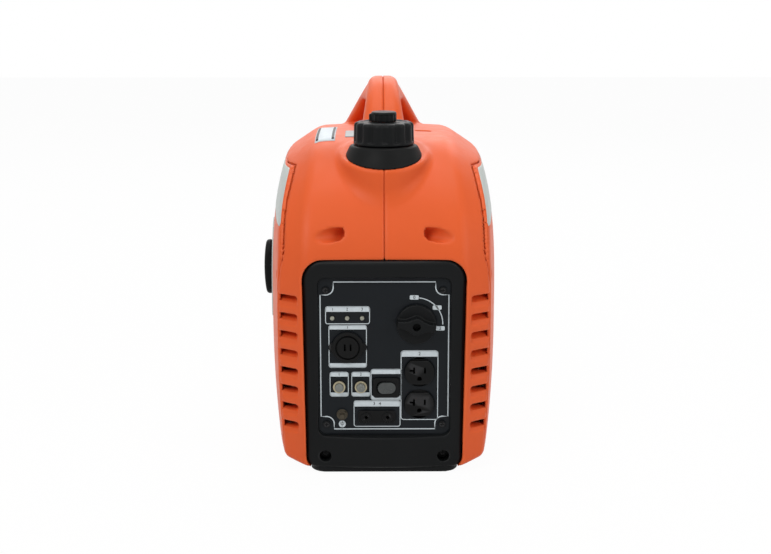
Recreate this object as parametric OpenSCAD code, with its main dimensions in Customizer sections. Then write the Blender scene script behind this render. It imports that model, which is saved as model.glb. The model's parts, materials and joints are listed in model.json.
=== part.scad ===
// Suitcase inverter generator, 2 kW class.
// Every module draws in (x, d, z): x across from the centre seam, d back from
// the front face, z up from the ground. place() moves that to the part's frame.

/* [Body] */
// Length of the case, front face to rear face
body_l = 520; // [500:5:640]
// Width of the case without the side covers
body_w = 290; // [280:2:360]
// Height of the top deck above the ground
deck_h = 388; // [380:2:480]
// Wall of the moulded shells
wall = 3; // [2.4:0.2:4]
// Height at which the sides are widest
wide_z = 160; // [140:5:190]
// How much narrower each side gets towards the front
front_taper = 25; // [20:1:36]
// How much narrower each side gets towards the rear
rear_taper = 22; // [16:1:34]
// Radius of the nose between front face and deck
nose_r = 170; // [150:5:200]
// Radius between rear face and deck
tail_r = 110; // [80:5:140]
// Radius of the long shoulders of the deck
shoulder_r = 34; // [24:1:44]
// Ground clearance under the shells
floor_z = 9; // [8:0.5:14]

/* [Handle] */
// Rise of the handle above the deck
handle_rise = 64; // [58:1:80]
// Width of the grip
handle_w = 36; // [30:1:44]
// Thickness of the grip, top to bottom
handle_t = 28; // [22:1:32]
// Length of the finger gap
handle_gap_l = 118; // [100:2:140]

/* [Side covers] */
// Thickness of the covers
cover_t = 2.2; // [1.8:0.2:3]
// Gap between cover and case
cover_gap = 0.3; // [0.2:0.1:0.5]
// Distance of the covers from the front face
cover_front = 36; // [34:1:60]
// Distance of the covers from the rear face
cover_rear = 40; // [36:1:60]

/* [Control panel] */
// Width of the black frame
bezel_w = 191; // [186:1:196]
// Height of the black frame
bezel_h = 249; // [245:1:254]
// Corner radius of the frame
bezel_r = 24; // [16:1:30]
// Width of the window in the frame
window_w = 156; // [152:1:162]
// Height of the window in the frame
window_h = 189; // [186:1:196]
// Depth of the plate behind the frame's front
plate_d = 10; // [9:0.5:12]
// Thickness of the control plate
plate_t = 2; // [1.5:0.5:3]

/* [Engine switch] */
// Radius of the knob's disc
knob_r = 23.4; // [20:0.2:26]
// Height of the knob's bar above its disc
knob_bar = 14; // [10:1:16]

/* [Filler] */
// Distance of the filler axis from the front face
filler_d = 90; // [84:1:100]
// Radius of the boss under the filler
boss_r = 53; // [50:1:58]
// Radius of the filler cap
cap_r = 36; // [33:0.5:39]
// Height of the filler cap
cap_h = 27; // [24:1:32]
// Bore radius of the filler neck
neck_bore = 20.5; // [18:0.5:22]
// Wall of the filler neck
neck_wall = 3.5; // [3:0.5:4]

/* [Starter] */
// Distance of the starter axis from the front face
starter_d = 200; // [190:2:215]
// Height of the crankshaft
crank_z = 178; // [174:1:184]
// Radius from the crankshaft to the rope's centre line
rope_arm = 38; // [34:1:42]
// Radius of the starter rope
rope_r = 2; // [1.5:0.25:2.5]
// Height of the grip, top to bottom
grip_h = 61; // [54:1:68]
// Width of the grip, front to back
grip_w = 34; // [28:1:38]
// Thickness of the grip
grip_t = 10.5; // [9:0.5:14]

/* [Outlets] */
// Distance between the two outlets of the AC receptacle
outlet_pitch = 39; // [38:0.5:40]
// Face width of one AC outlet
outlet_w = 34.9; // [33:0.1:36]
// Face height of one AC outlet
outlet_h = 28.6; // [27:0.1:30]
// Bore radius of the parallel sockets
jack_r = 2; // [1.9:0.05:2.2]
// Radius of the ground stud
stud_r = 3; // [2.5:0.5:4]
stud_tip_r = 2.6;
stud_tip_l = 3.8;
stud_front = 1.2;
// Bore radius of the exhaust outlet
exhaust_r = 8.5; // [7:0.5:10]

/* [Hidden] */
$fn = 64;

orange = [0.86, 0.33, 0.14];
black = [0.09, 0.1, 0.1];
dark_plate = [0.11, 0.12, 0.13];
silver = [0.7, 0.73, 0.72];
steel = [0.62, 0.63, 0.65];
alloy = [0.72, 0.73, 0.74];
rubber = [0.06, 0.06, 0.06];
brass = [0.75, 0.62, 0.3];
lens = [0.75, 0.78, 0.7];
run_gap = 0.3;
shaft_gap = 0.05;

// Overall places
grip_out = grip_t + 4.8;
centre_x = grip_out / 2 - cover_t / 2 - 0.5;
mid_d = body_l / 2;
inner_floor = floor_z + wall;
floor_r = 14;
corner_l = 30;
corner_w = 22;
side_upper = 0.234;
side_lower = 0.0594;
rear_panel_z = 158;

// Panel layout, measured from the centre seam and the ground
bezel_z = 134.5;
window_z = 142.5;
front_bulge_r = 600;
skirt_t = 3;
skirt_back = 26;
knob_x = 37.5;
knob_z = 183;
lamp_x = [-61, -43.5, -26];
lamp_z = 189.5;
dc_x = -43;
dc_z = 154.5;
breaker_x = [-53.3, -27.7];
breaker_z = 106;
economy_x = 2.2;
economy_z = 105;
outlet_x = 41.5;
outlet_z = 104.5;
jack_x = [-21.5, 3.9];
jack_z = 69.5;
stud_x = -50;
stud_z = 72;
panel_screw_x = 68.5;
panel_screw_z = [60, 223];
bezel_screw_x = 70;
bezel_screw_z = 22;
bezel_screw_r = 7;
louvre_n = 8;
louvre_z = 51.5;
louvre_pitch = 21.7;
pocket_r = 8.5;
pocket_x = 64;
pocket_z = 287;
pocket_l = 33;
pocket_d = nose_r - sqrt(pow(nose_r, 2) - pow(pocket_z - deck_h + nose_r, 2)) + 4;
seam_boss_d = pocket_d + 7.5;
rocker_tilt = 14;

// Filler stack
boss_tilt = 14;
boss_z = deck_h - 15;
neck_top = boss_z + 27;
cap_z = boss_z + 11.5;
cap_top = cap_z + cap_h;
gasket_t = 2;
tank_z = deck_h - 126;
spigot_x = 60;
spigot_d = 228;
spigot_r = 4;
spigot_l = 8;
hose_r = 3.5;
tank_top = deck_h - 36;

// Side cover outline
cover_z0 = 26;
cover_z1 = deck_h - 40;
cover_r = 30;
hatch_margin = 24;
cover_margin = 30;

// Engine
block_d = mid_d + 8;
block_l = 104;
block_w = 120;
barrel_z = 150;
barrel_d = block_d + block_l / 2;
head_x = 104;
shroud_r = 77;
rotor_d = block_d - 46;
fan_d = rotor_d - 16;
housing_d = starter_d - 32;
muffler_d = block_d + block_l + 22;
muffler_l = 78;
exhaust_x = -45;
exhaust_z = 190;
exhaust_out = 8.5;

// ---------------------------------------------------------------- shape laws

function side_share(z) = z > wide_z
    ? 1 - side_upper * pow((z - wide_z) / (deck_h - wide_z), 3.5)
    : 1 - side_lower * pow((wide_z - z) / (wide_z - floor_z), 2.2);
function corner(e) = e < corner_l
    ? corner_w * (1 - sqrt(1 - pow((corner_l - e) / corner_l, 2))) : 0;
function plan_half(d) = body_w / 2
    - (d < mid_d ? front_taper : rear_taper) * pow(abs(1 - d / mid_d), 2)
    - corner(min(d, body_l - d));
// The sides as straight stretches: [distance back, half width] seen from above,
// and [height, half width] seen from the front.
plan_steps = [0, 0.08, 0.3, 1];
plan_d = concat([for (k = plan_steps) k * corner_l],
    [for (k = [1:7]) corner_l + k * (body_l - 2 * corner_l) / 8],
    [for (k = [3:-1:0]) body_l - plan_steps[k] * corner_l]);
plan_table = [for (d = plan_d) [d, plan_half(d)]];
side_z0 = floor_z + floor_r;
side_z1 = deck_h - shoulder_r;
side_z = [for (k = [0:7]) side_z0 + k * (side_z1 - side_z0) / 7];
side_table = [for (z = side_z) [z, body_w / 2 * side_share(z)]];
function side_x(d, z) = min(lookup(d, plan_table), lookup(z, side_table));

// Places that follow the left side's surface
rope_z = crank_z + rope_arm;
bezel_plate_x = -(side_x(starter_d + 30, rope_z) + cover_gap + cover_t);
grip_back_x = bezel_plate_x - 3.4;

// The body's outline from above, from the side and from the front, moved in by t.
function both_sides(right) = concat(right,
    [for (k = [len(right) - 1:-1:0]) [-right[k][0], right[k][1]]]);
function plan_outline(t) = both_sides(
    [for (p = plan_table) [p[1] - t, min(max(p[0], t), body_l - t)]]);
function side_outline(t) = concat(
    [[t, floor_z + t]],
    [for (a = [0:15:90]) [nose_r - (nose_r - t) * cos(a),
        deck_h - nose_r + (nose_r - t) * sin(a)]],
    [for (a = [90:-18:0]) [body_l - tail_r + (tail_r - t) * cos(a),
        deck_h - tail_r + (tail_r - t) * sin(a)]],
    [[body_l - t, floor_z + t]]);
function front_outline(t) = both_sides(concat(
    [[side_table[0][1] - floor_r, floor_z + t]],
    [for (p = side_table) [p[1] - t, p[0]]],
    [for (a = [30:30:90]) [side_table[7][1] - shoulder_r + (shoulder_r - t) * cos(a),
        side_z1 + (shoulder_r - t) * sin(a)]]));

module body_solid(t, x0 = -body_w) {
    intersection() {
        translate([0, 0, floor_z + t]) linear_extrude(deck_h - floor_z - 2 * t)
            polygon(plan_outline(t));
        along_x(x0, body_w) polygon(side_outline(t));
        along_d(t, body_l - t) polygon(front_outline(t));
    }
}

// A closed surface through rings of points that all turn the same way.
module skin(loops) {
    n = len(loops[0]);
    m = len(loops);
    polyhedron(
        points = [for (l = loops) for (p = l) p],
        faces = concat(
            [[for (k = [0:n - 1]) k]],
            [for (i = [0:m - 2]) for (k = [0:n - 1])
                let (a = i * n + k, b = i * n + (k + 1) % n)
                each [[a, a + n, b + n], [a, b + n, b]]],
            [[for (k = [n - 1:-1:0]) (m - 1) * n + k]]),
        convexity = 6);
}

// ------------------------------------------------------------------- helpers

module place() {
    translate([centre_x, -mid_d, 0]) children();
}

module round_rect(w, h, r) {
    square([w - 2 * r, h], center = true);
    square([w, h - 2 * r], center = true);
    for (x = [-1, 1], y = [-1, 1])
        translate([x * (w / 2 - r), y * (h / 2 - r)]) circle(r);
}

// Extrudes a shape drawn in (x, z) from d0 to d1.
module along_d(d0, d1) {
    translate([0, d1, 0]) rotate([90, 0, 0]) linear_extrude(d1 - d0) children();
}

// Extrudes a shape drawn in (d, z) from x0 to x1.
module along_x(x0, x1) {
    translate([x0, 0, 0]) rotate([90, 0, 90]) linear_extrude(x1 - x0) children();
}

module rod_d(x, z, r, d0, d1) {
    along_d(d0, d1) translate([x, z]) circle(r);
}

module rod_x(d, z, r, x0, x1) {
    along_x(x0, x1) translate([d, z]) circle(r);
}

module block(x0, x1, d0, d1, z0, z1) {
    translate([x0, d0, z0]) cube([x1 - x0, d1 - d0, z1 - z0]);
}

// Everything above the tilted rim of the filler boss.
module above_boss() {
    translate([0, filler_d, boss_z]) rotate([boss_tilt, 0, 0])
        block(-90, 90, -120, 120, 0, 90);
}

// ------------------------------------------------------------- handle

// Right half of the arch: its side view less the finger gap, narrowed upwards.
module handle_half() {
    top = deck_h + handle_rise;
    half = handle_gap_l / 2;
    intersection() {
        along_x(0, 60) difference() {
            translate([mid_d, 0]) polygon([[-half - 66, deck_h - 20], [-half - 40, deck_h + 4],
                [-half + 2, top - 8], [-half + 22, top], [half - 22, top], [half - 2, top - 8],
                [half + 44, deck_h + 4], [half + 70, deck_h - 20]]);
            translate([mid_d, deck_h + (handle_rise - handle_t) / 2])
                round_rect(handle_gap_l, handle_rise - handle_t, (handle_rise - handle_t) / 2 - 1);
        }
        along_d(0, body_l) polygon(both_sides([[56, deck_h - 22], [44, deck_h - 6],
            [handle_w / 2 + 4, deck_h + 12], [handle_w / 2, deck_h + 30],
            [handle_w / 2, top - 9], [handle_w / 2 - 7, top + 1]]));
    }
}

// ------------------------------------------------------------- case halves

// Right half of the closed form that both case halves are hollowed from.
module case_half_solid() {
    body_solid(0, 0);
    handle_half();
    difference() {
        translate([0, filler_d, deck_h - 160]) rotate([0, 0, -90])
            rotate_extrude(angle = 180) square([boss_r, 160]);
        above_boss();
    }
}

// Slots through the front corner, square to its face.
module louvre_cuts() {
    for (k = [0:louvre_n - 1])
        translate([112, 11, louvre_z + k * louvre_pitch]) rotate([0, 0, 34])
            cube([24, 40, 10.5], center = true);
}

module case_openings() {
    // front opening under the black frame, and the rear opening
    along_d(-1, skirt_back + run_gap) translate([0, bezel_z])
        round_rect(bezel_w + 2 * run_gap, bezel_h + 2 * run_gap, bezel_r + run_gap);
    along_d(body_l - 22, body_l + 1) translate([0, rear_panel_z])
        round_rect(rear_w + 2 * run_gap, rear_h + 2 * run_gap, rear_r + run_gap);
    // clearance for the filler neck
    translate([0, filler_d, boss_z - 80])
        cylinder(r = neck_bore + neck_wall + 3, h = 130);
    // pocket over the end of the seam screw
    rod_x(pocket_d, pocket_z, pocket_r, pocket_x - pocket_l / 2, pocket_x + pocket_l / 2);
    louvre_cuts();
}

// Right half of the case; the left one is its mirror image. The children are
// what only one of them has cut out.
module case_half() {
    difference() {
        case_half_solid();
        body_solid(wall);
        case_openings();
        children();
    }
    screw_boss();
}

// Boss behind the nose that holds the seam screw.
module screw_boss() {
    difference() {
        rod_x(seam_boss_d, pocket_z, 9, 0, pocket_x - pocket_l / 2 - 0.5);
        rod_x(seam_boss_d, pocket_z, 2.2, -1, 90);
    }
}

module left_case() {
    color(orange) place() mirror([1, 0, 0]) case_half() {
        along_x(70, body_w) starter_outline(50.6, 84.6);
    }
}

module right_case() {
    color(orange) place() case_half() {
        along_x(70, body_w) hatch_outline();
    }
}

// Opening in the right side that the cover closes.
module hatch_outline() {
    translate([(cover_front + body_l - cover_rear) / 2, (cover_z0 + cover_z1) / 2])
        round_rect(body_l - cover_front - cover_rear - 2 * hatch_margin,
            cover_z1 - cover_z0 - 2 * hatch_margin, cover_r);
}

// The covers' edge keeps a margin from the nose and the tail.
module cover_outline() {
    intersection() {
        translate([(cover_front + body_l - cover_rear) / 2, (cover_z0 + cover_z1) / 2])
            round_rect(body_l - cover_front - cover_rear, cover_z1 - cover_z0, cover_r);
        polygon(side_outline(cover_margin));
    }
}

module cover_solid() {
    intersection() {
        difference() {
            body_solid(-cover_gap - cover_t);
            body_solid(-cover_gap);
        }
        along_x(96, body_w) cover_outline();
    }
}

cover_screw_d = cover_front + 16;
cover_screw_z = 236;
cover_screw_x = side_x(cover_screw_d, cover_screw_z);

module right_side_cover() {
    color(orange) place() difference() {
        cover_solid();
        rod_x(cover_screw_d, cover_screw_z, 4, 60, body_w);
    }
}

module left_side_cover() {
    color(orange) place() difference() {
        mirror([1, 0, 0]) cover_solid();
        along_x(-body_w, -60) starter_outline(50.6, 84.6);
        rod_x(cover_screw_d, cover_screw_z, 4, -body_w, -60);
    }
}

// Screw that holds each cover: its head lies in the cover's hole, on the case.
module side_cover_screws() {
    color(steel) place() for (s = [0, 1]) mirror([s, 0, 0]) difference() {
        rod_x(cover_screw_d, cover_screw_z, 3.6, cover_screw_x + 0.9, cover_screw_x + 3);
        block(cover_screw_x + 2.2, cover_screw_x + 4, cover_screw_d - 5, cover_screw_d + 5,
            cover_screw_z - 0.6, cover_screw_z + 0.6);
    }
}

// --------------------------------------------------------------- front panel

module front_profile(off) {
    translate([-off, -20]) square([body_l, deck_h - nose_r + 20]);
    translate([nose_r, deck_h - nose_r]) circle(nose_r + off, $fn = 128);
}

module control_bezel() {
    color(black) place() difference() {
        intersection() {
            union() {
                along_d(0, plate_d) translate([0, bezel_z])
                    round_rect(bezel_w, bezel_h, bezel_r);
                difference() {
                    along_d(plate_d, skirt_back) translate([0, bezel_z])
                        round_rect(bezel_w, bezel_h, bezel_r);
                    along_d(plate_d - 1, skirt_back + 1) translate([0, bezel_z])
                        round_rect(bezel_w - 2 * skirt_t, bezel_h - 2 * skirt_t, bezel_r - skirt_t);
                }
                for (s = [-1, 1])
                    rod_d(s * bezel_screw_x, bezel_screw_z, bezel_screw_r + 1.5, plate_d, skirt_back);
            }
            translate([0, front_bulge_r, -10])
                cylinder(r = front_bulge_r, h = deck_h, $fn = 256);
            along_x(-body_w, body_w) front_profile(1);
        }
        along_d(-1, plate_d + 1) translate([0, window_z]) round_rect(window_w, window_h, 8);
        for (s = [-1, 1]) {
            rod_d(s * bezel_screw_x, bezel_screw_z, bezel_screw_r, -1, skirt_back - 6);
            rod_d(s * bezel_screw_x, bezel_screw_z, 2.2, -1, skirt_back + 1);
        }
    }
}

module bezel_screws() {
    color(steel) place() for (s = [-1, 1]) difference() {
        union() {
            rod_d(s * bezel_screw_x, bezel_screw_z, 4.5, skirt_back - 9, skirt_back - 6);
            rod_d(s * bezel_screw_x, bezel_screw_z, 2, skirt_back - 6, skirt_back + 4);
        }
        cross_slot(s * bezel_screw_x, bezel_screw_z, skirt_back - 9, 5);
    }
}

module cross_slot(x, z, d, l) {
    block(x - l / 2, x + l / 2, d - 1, d + 1.2, z - 0.5, z + 0.5);
    block(x - 0.5, x + 0.5, d - 1, d + 1.2, z - l / 2, z + l / 2);
}

module control_plate() {
    color(dark_plate) place() difference() {
        along_d(plate_d, plate_d + plate_t) translate([0, window_z])
            round_rect(window_w + 20, window_h + 16, 6);
        for (s = [-1, 1])
            rod_d(outlet_x, outlet_z + s * outlet_pitch / 2, outlet_w / 2 + run_gap,
                plate_d - 1, plate_d + plate_t + 1);
        rod_d(dc_x, dc_z, dc_body_r + run_gap, plate_d - 1, plate_d + plate_t + 1);
        for (x = breaker_x) rod_d(x, breaker_z, 6.3, plate_d - 1, plate_d + plate_t + 1);
        along_d(plate_d - 1, plate_d + plate_t + 1) translate([economy_x, economy_z])
            round_rect(switch_w + 2 * run_gap, switch_h + 2 * run_gap, 4 + run_gap);
        for (x = jack_x) rod_d(x, jack_z, 5, plate_d - 1, plate_d + plate_t + 1);
        rod_d(stud_x, stud_z, stud_r + 0.2, plate_d - 1, plate_d + plate_t + 1);
        for (x = lamp_x) rod_d(x, lamp_z, 2.6, plate_d - 1, plate_d + plate_t + 1);
        rod_d(knob_x, knob_z, 5.5, plate_d - 1, plate_d + plate_t + 1);
        for (s = [-1, 1], z = panel_screw_z)
            rod_d(s * panel_screw_x, z, 2.2, plate_d - 1, plate_d + plate_t + 1);
    }
}

module panel_screws() {
    color(black) place() for (s = [-1, 1], z = panel_screw_z) difference() {
        union() {
            rod_d(s * panel_screw_x, z, 4, plate_d - 2.2, plate_d);
            rod_d(s * panel_screw_x, z, 2, plate_d, plate_d + 10);
        }
        cross_slot(s * panel_screw_x, z, plate_d - 2.2, 4.6);
    }
}

// Grub screws of the seam, each in the boss behind its pocket.
module case_screws() {
    color(steel) place() for (s = [0, 1]) mirror([s, 0, 0])
        rod_x(seam_boss_d, pocket_z, 2, 4, pocket_x - pocket_l / 2 - 1.5);
}

// ------------------------------------------------------------- switches, lamps

module engine_switch_knob() {
    disc_front = plate_d - 6.5;
    color(black) place() difference() {
        union() {
            rod_d(knob_x, knob_z, knob_r, disc_front, plate_d - run_gap);
            translate([knob_x, 0, knob_z]) rotate([0, 8, 0]) {
                along_d(disc_front - knob_bar, disc_front)
                    square([2 * knob_r - 3, 8], center = true);
                along_d(disc_front - knob_bar, disc_front) circle(9.5);
            }
            rod_d(knob_x, knob_z, 5, plate_d - run_gap, plate_d + plate_t + 2);
        }
        rod_d(knob_x, knob_z, 5.2, disc_front - knob_bar - 1, disc_front - 2);
    }
}

module engine_switch_body() {
    color(alloy) place() difference() {
        union() {
            rod_d(knob_x, knob_z, 15, plate_d + plate_t, plate_d + plate_t + 22);
            block(knob_x - 9, knob_x + 9, plate_d + plate_t + 6, plate_d + plate_t + 20,
                knob_z - 26, knob_z);
        }
        rod_d(knob_x, knob_z, 5.5, plate_d, plate_d + plate_t + 8);
    }
}

module outlet_slots() {
    // neutral slot with its side branch, live slot, ground hole
    translate([-6.4, 2.4]) square([2.2, 8], center = true);
    translate([-9, 2.4]) square([5, 2.2], center = true);
    translate([6.4, 2.4]) square([2.2, 7], center = true);
    translate([0, -7.4]) circle(2.6, $fn = 32);
    translate([0, -8.6]) square([5.2, 2.4], center = true);
}

module ac_receptacle() {
    color(black) place() difference() {
        union() {
            for (s = [-1, 1])
                along_d(plate_d - 3, plate_d + plate_t)
                    translate([outlet_x, outlet_z + s * outlet_pitch / 2]) intersection() {
                        circle(outlet_w / 2);
                        square([outlet_w, outlet_h], center = true);
                    }
            along_d(plate_d + plate_t, plate_d + plate_t + 26)
                translate([outlet_x, outlet_z]) round_rect(34, outlet_pitch + 30, 3);
        }
        for (s = [-1, 1])
            along_d(plate_d - 4, plate_d + 12)
                translate([outlet_x, outlet_z + s * outlet_pitch / 2]) outlet_slots();
    }
}

dc_body_r = 15.5;

module dc_socket() {
    color(black) place() difference() {
        union() {
            along_d(plate_d - 3.5, plate_d) translate([dc_x, dc_z]) circle(18.4);
            along_d(plate_d - 2.5, plate_d) translate([dc_x, dc_z]) round_rect(45, 11, 5);
            rod_d(dc_x, dc_z, dc_body_r, plate_d, plate_d + plate_t + 26);
        }
        along_d(plate_d - 4, plate_d + 1) translate([dc_x, dc_z]) difference() {
            circle(14.6);
            circle(12.6);
        }
        for (s = [-1, 1])
            along_d(plate_d - 4, plate_d + 12) translate([dc_x + s * 3.4, dc_z])
                square([2, 8], center = true);
    }
}

module breaker_body(x) {
    difference() {
        union() {
            rod_d(x, breaker_z, 7.2, plate_d - 2.5, plate_d);
            rod_d(x, breaker_z, 6, plate_d, plate_d + plate_t);
            block(x - 8, x + 8, plate_d + plate_t, plate_d + plate_t + 24,
                breaker_z - 13, breaker_z + 13);
        }
        rod_d(x, breaker_z, 5.2, plate_d - 4, plate_d + 8);
    }
}

// The button stands out by its stroke and a little more, and stops on its pin.
module breaker_button(x) {
    rod_d(x, breaker_z, 5.1, plate_d - 6.8, plate_d + 1);
    rod_d(x, breaker_z, 2, plate_d + 1, plate_d + 5);
}

module dc_breaker_body() { color(brass) place() breaker_body(breaker_x[0]); }
module ac_breaker_body() { color(brass) place() breaker_body(breaker_x[1]); }
module dc_breaker_button() { color(lens) place() breaker_button(breaker_x[0]); }
module ac_breaker_button() { color(lens) place() breaker_button(breaker_x[1]); }

switch_w = 32;
switch_h = 24;
rocker_w = 21;
rocker_h = 13.4;
rocker_gap = 0.8;
rocker_pivot = plate_d + 2.5;

module economy_switch() {
    color(black) place() difference() {
        union() {
            along_d(plate_d - 1.8, plate_d + plate_t) translate([economy_x, economy_z])
                round_rect(switch_w, switch_h, 4);
            block(economy_x - 14, economy_x + 14, plate_d + plate_t, plate_d + plate_t + 20,
                economy_z - 10.5, economy_z + 10.5);
        }
        along_d(plate_d - 3, plate_d + 9) translate([economy_x, economy_z])
            round_rect(rocker_w + 2 * rocker_gap, rocker_h + 2 * rocker_gap, rocker_h / 2);
        translate([economy_x, rocker_pivot, economy_z - rocker_h / 2 - 2.6])
            cylinder(r = 1.55, h = rocker_h + 5.2);
    }
}

// The rocker turns on an upright pin, so that its left or its right end is in.
module economy_rocker() {
    color([0.45, 0.47, 0.46]) place() {
        translate([economy_x, rocker_pivot, economy_z]) rotate([0, 0, rocker_tilt / 2])
            along_d(-6, 2.4) round_rect(rocker_w, rocker_h, rocker_h / 2 - 0.2);
        translate([economy_x, rocker_pivot, economy_z - rocker_h / 2 - 2.4])
            cylinder(r = 1.5, h = rocker_h + 4.8);
    }
}

module parallel_sockets() {
    color(black) place() difference() {
        union() {
            along_d(plate_d - 2.5, plate_d) translate([(jack_x[0] + jack_x[1]) / 2, jack_z])
                round_rect(44, 15, 3);
            for (x = jack_x) {
                rod_d(x, jack_z, 5.6, plate_d - 5, plate_d - 2.5);
                rod_d(x, jack_z, 4.8, plate_d, plate_d + 20);
            }
        }
        for (x = jack_x) rod_d(x, jack_z, jack_r, plate_d - 6, plate_d + 14);
    }
}

module ground_stud() {
    color(brass) place() {
        rod_d(stud_x, stud_z, stud_tip_r, stud_front, stud_front + stud_tip_l);
        rod_d(stud_x, stud_z, stud_r, stud_front + stud_tip_l, plate_d + plate_t + 6);
        rod_d(stud_x, stud_z, 6, plate_d + plate_t, plate_d + plate_t + 3);
    }
}

module ground_nut() {
    color(brass) place() difference() {
        union() {
            along_d(plate_d - 4.6, plate_d - 1.2) translate([stud_x, stud_z]) circle(5.8, $fn = 6);
            rod_d(stud_x, stud_z, 6.6, plate_d - 1.2, plate_d);
        }
        rod_d(stud_x, stud_z, stud_r + shaft_gap, -2, plate_d + 1);
    }
}

module indicator_lamps() {
    color(lens) place() for (x = lamp_x) {
        rod_d(x, lamp_z, 2.5, plate_d - 1.4, plate_d + plate_t + 3);
        rod_d(x, lamp_z, 4, plate_d + plate_t, plate_d + plate_t + 3);
    }
}

// ------------------------------------------------------------------ base, rear

module base_tray() {
    color(black) place() block_round(170, body_l - 60, 5, floor_z);
}

module block_round(w, l, z0, z1) {
    translate([0, mid_d, z0]) linear_extrude(z1 - z0) round_rect(w, l, 26);
}

foot_x = 66;

module rubber_feet() {
    color(rubber) place() for (s = [-1, 1], d = [56, body_l - 56])
        translate([s * foot_x, d, 0]) cylinder(r = 16, h = 5);
}

rear_w = 186;
rear_h = 214;
rear_r = 22;

module rear_cover() {
    slot_n = 11;
    color(black) place() difference() {
        intersection() {
            union() {
                along_d(body_l - 6, body_l) translate([0, rear_panel_z])
                    round_rect(rear_w, rear_h, rear_r);
                difference() {
                    along_d(body_l - 20, body_l - 6) translate([0, rear_panel_z])
                        round_rect(rear_w, rear_h, rear_r);
                    along_d(body_l - 21, body_l - 5) translate([0, rear_panel_z])
                        round_rect(rear_w - 6, rear_h - 6, rear_r - 3);
                }
            }
            translate([0, body_l - front_bulge_r, -10])
                cylinder(r = front_bulge_r, h = deck_h, $fn = 256);
        }
        for (k = [0:slot_n - 1]) let (z = rear_panel_z - 80 + k * 16)
            if (abs(z - exhaust_z) > 30)
                block(-70, 70, body_l - 10, body_l + 1, z - 3.5, z + 3.5);
            else
                block(exhaust_x + 34, 70, body_l - 10, body_l + 1, z - 3.5, z + 3.5);
        rod_d(exhaust_x, exhaust_z, exhaust_r + 6.5, body_l - 10, body_l + 1);
        for (s = [-1, 1], t = [-1, 1])
            rod_d(s * 80, rear_panel_z + t * 94, 2.2, body_l - 20, body_l + 1);
    }
}

rear_screw_d = body_l - 75 * 75 / (2 * front_bulge_r);

module rear_cover_screws() {
    color(steel) place() for (s = [-1, 1], t = [-1, 1]) difference() {
        union() {
            rod_d(s * 80, rear_panel_z + t * 94, 4, rear_screw_d, rear_screw_d + 2);
            rod_d(s * 80, rear_panel_z + t * 94, 2, body_l - 16, rear_screw_d);
        }
        cross_slot(s * 80, rear_panel_z + t * 94, rear_screw_d + 2, 4.6);
    }
}

module spark_arrester() {
    color(steel) place() difference() {
        union() {
            rod_d(exhaust_x, exhaust_z, exhaust_r + 3.5, muffler_d + muffler_l, body_l + exhaust_out);
            rod_d(exhaust_x, exhaust_z, exhaust_r + 9, muffler_d + muffler_l,
                muffler_d + muffler_l + 3);
        }
        rod_d(exhaust_x, exhaust_z, exhaust_r, muffler_d + muffler_l + 12, body_l + exhaust_out + 1);
    }
}

// ------------------------------------------------------------------ fuel system

module tank_profile() {
    polygon([[42, tank_z], [236, tank_z], [236, tank_top], [120, tank_top],
        [60, tank_top - 14], [42, tank_top - 40]]);
}

module fuel_tank() {
    color(black) place() difference() {
        union() {
            along_x(-96, 96) tank_profile();
            translate([0, filler_d, tank_top - 20])
                cylinder(r = neck_bore + neck_wall, h = neck_top - tank_top + 20);
            translate([spigot_x, spigot_d, tank_z - spigot_l]) cylinder(r = spigot_r, h = spigot_l + 2);
        }
        translate([0, filler_d, tank_z + 12]) cylinder(r = neck_bore, h = deck_h);
        along_x(-90, 90) translate([0, 6]) offset_profile();
    }
}

// Inside of the tank, a wall in from the profile.
module offset_profile() {
    polygon([[48, tank_z], [230, tank_z], [230, tank_top - 12], [118, tank_top - 12],
        [64, tank_top - 25], [48, tank_top - 49]]);
}

module tank_support() {
    color(steel) place() {
        block(-88, 88, 64, 150, tank_z - 3, tank_z);
        for (s = [-1, 1])
            block(s > 0 ? 62 : -66, s > 0 ? 66 : -62, 70, 114, inverter_top, tank_z - 3);
    }
}

// Points of the hose's centre line, from the tank's spigot to the carburetor.
function hose_point(t) = let (a = [spigot_x, spigot_d + spigot_r, tank_z - hose_r - 0.8],
        b = [carb_x, block_d + 22, tank_z - 30])
    [a[0] + (b[0] - a[0]) * (1 - cos(180 * t)) / 2,
        a[1] + (b[1] - a[1]) * t,
        a[2] + (b[2] - a[2]) * t - 10 * sin(180 * t)];

module fuel_hose() {
    rings = 10;
    sides = 8;
    color(rubber) place() skin([for (i = [0:rings])
        let (p = hose_point(i / rings))
        [for (k = [0:sides - 1]) let (a = 360 * k / sides)
            [p[0] + hose_r * cos(a), p[1], p[2] + hose_r * sin(a)]]]);
}

module filler_collar() {
    color(rubber) place() intersection() {
        difference() {
            translate([0, filler_d, boss_z - 14]) cylinder(r1 = boss_r - 2, r2 = cap_r + 3.5, h = 24);
            translate([0, filler_d, boss_z - 30]) cylinder(r = neck_bore + neck_wall + 1, h = 60);
        }
        above_boss();
    }
}

module fuel_cap() {
    rib_n = 24;
    color(black) place() translate([0, filler_d, 0]) difference() {
        union() {
            translate([0, 0, cap_z]) cylinder(r = cap_r - 1.2, h = cap_h);
            for (k = [0:rib_n - 1]) rotate([0, 0, k * 360 / rib_n])
                translate([cap_r - 3, -2.4, cap_z]) cube([3, 4.8, cap_h - 4]);
        }
        translate([0, 0, cap_z - 1]) cylinder(r = neck_bore + neck_wall + 1,
            h = neck_top + gasket_t + run_gap - cap_z + 1);
        translate([0, 0, cap_top - 5]) cylinder(r = 5.3, h = 6);
    }
}

module fuel_cap_gasket() {
    color(rubber) place() translate([0, filler_d, neck_top + 0.05]) difference() {
        cylinder(r = neck_bore + neck_wall, h = gasket_t);
        translate([0, 0, -1]) cylinder(r = neck_bore + 0.5, h = gasket_t + 2);
    }
}

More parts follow.
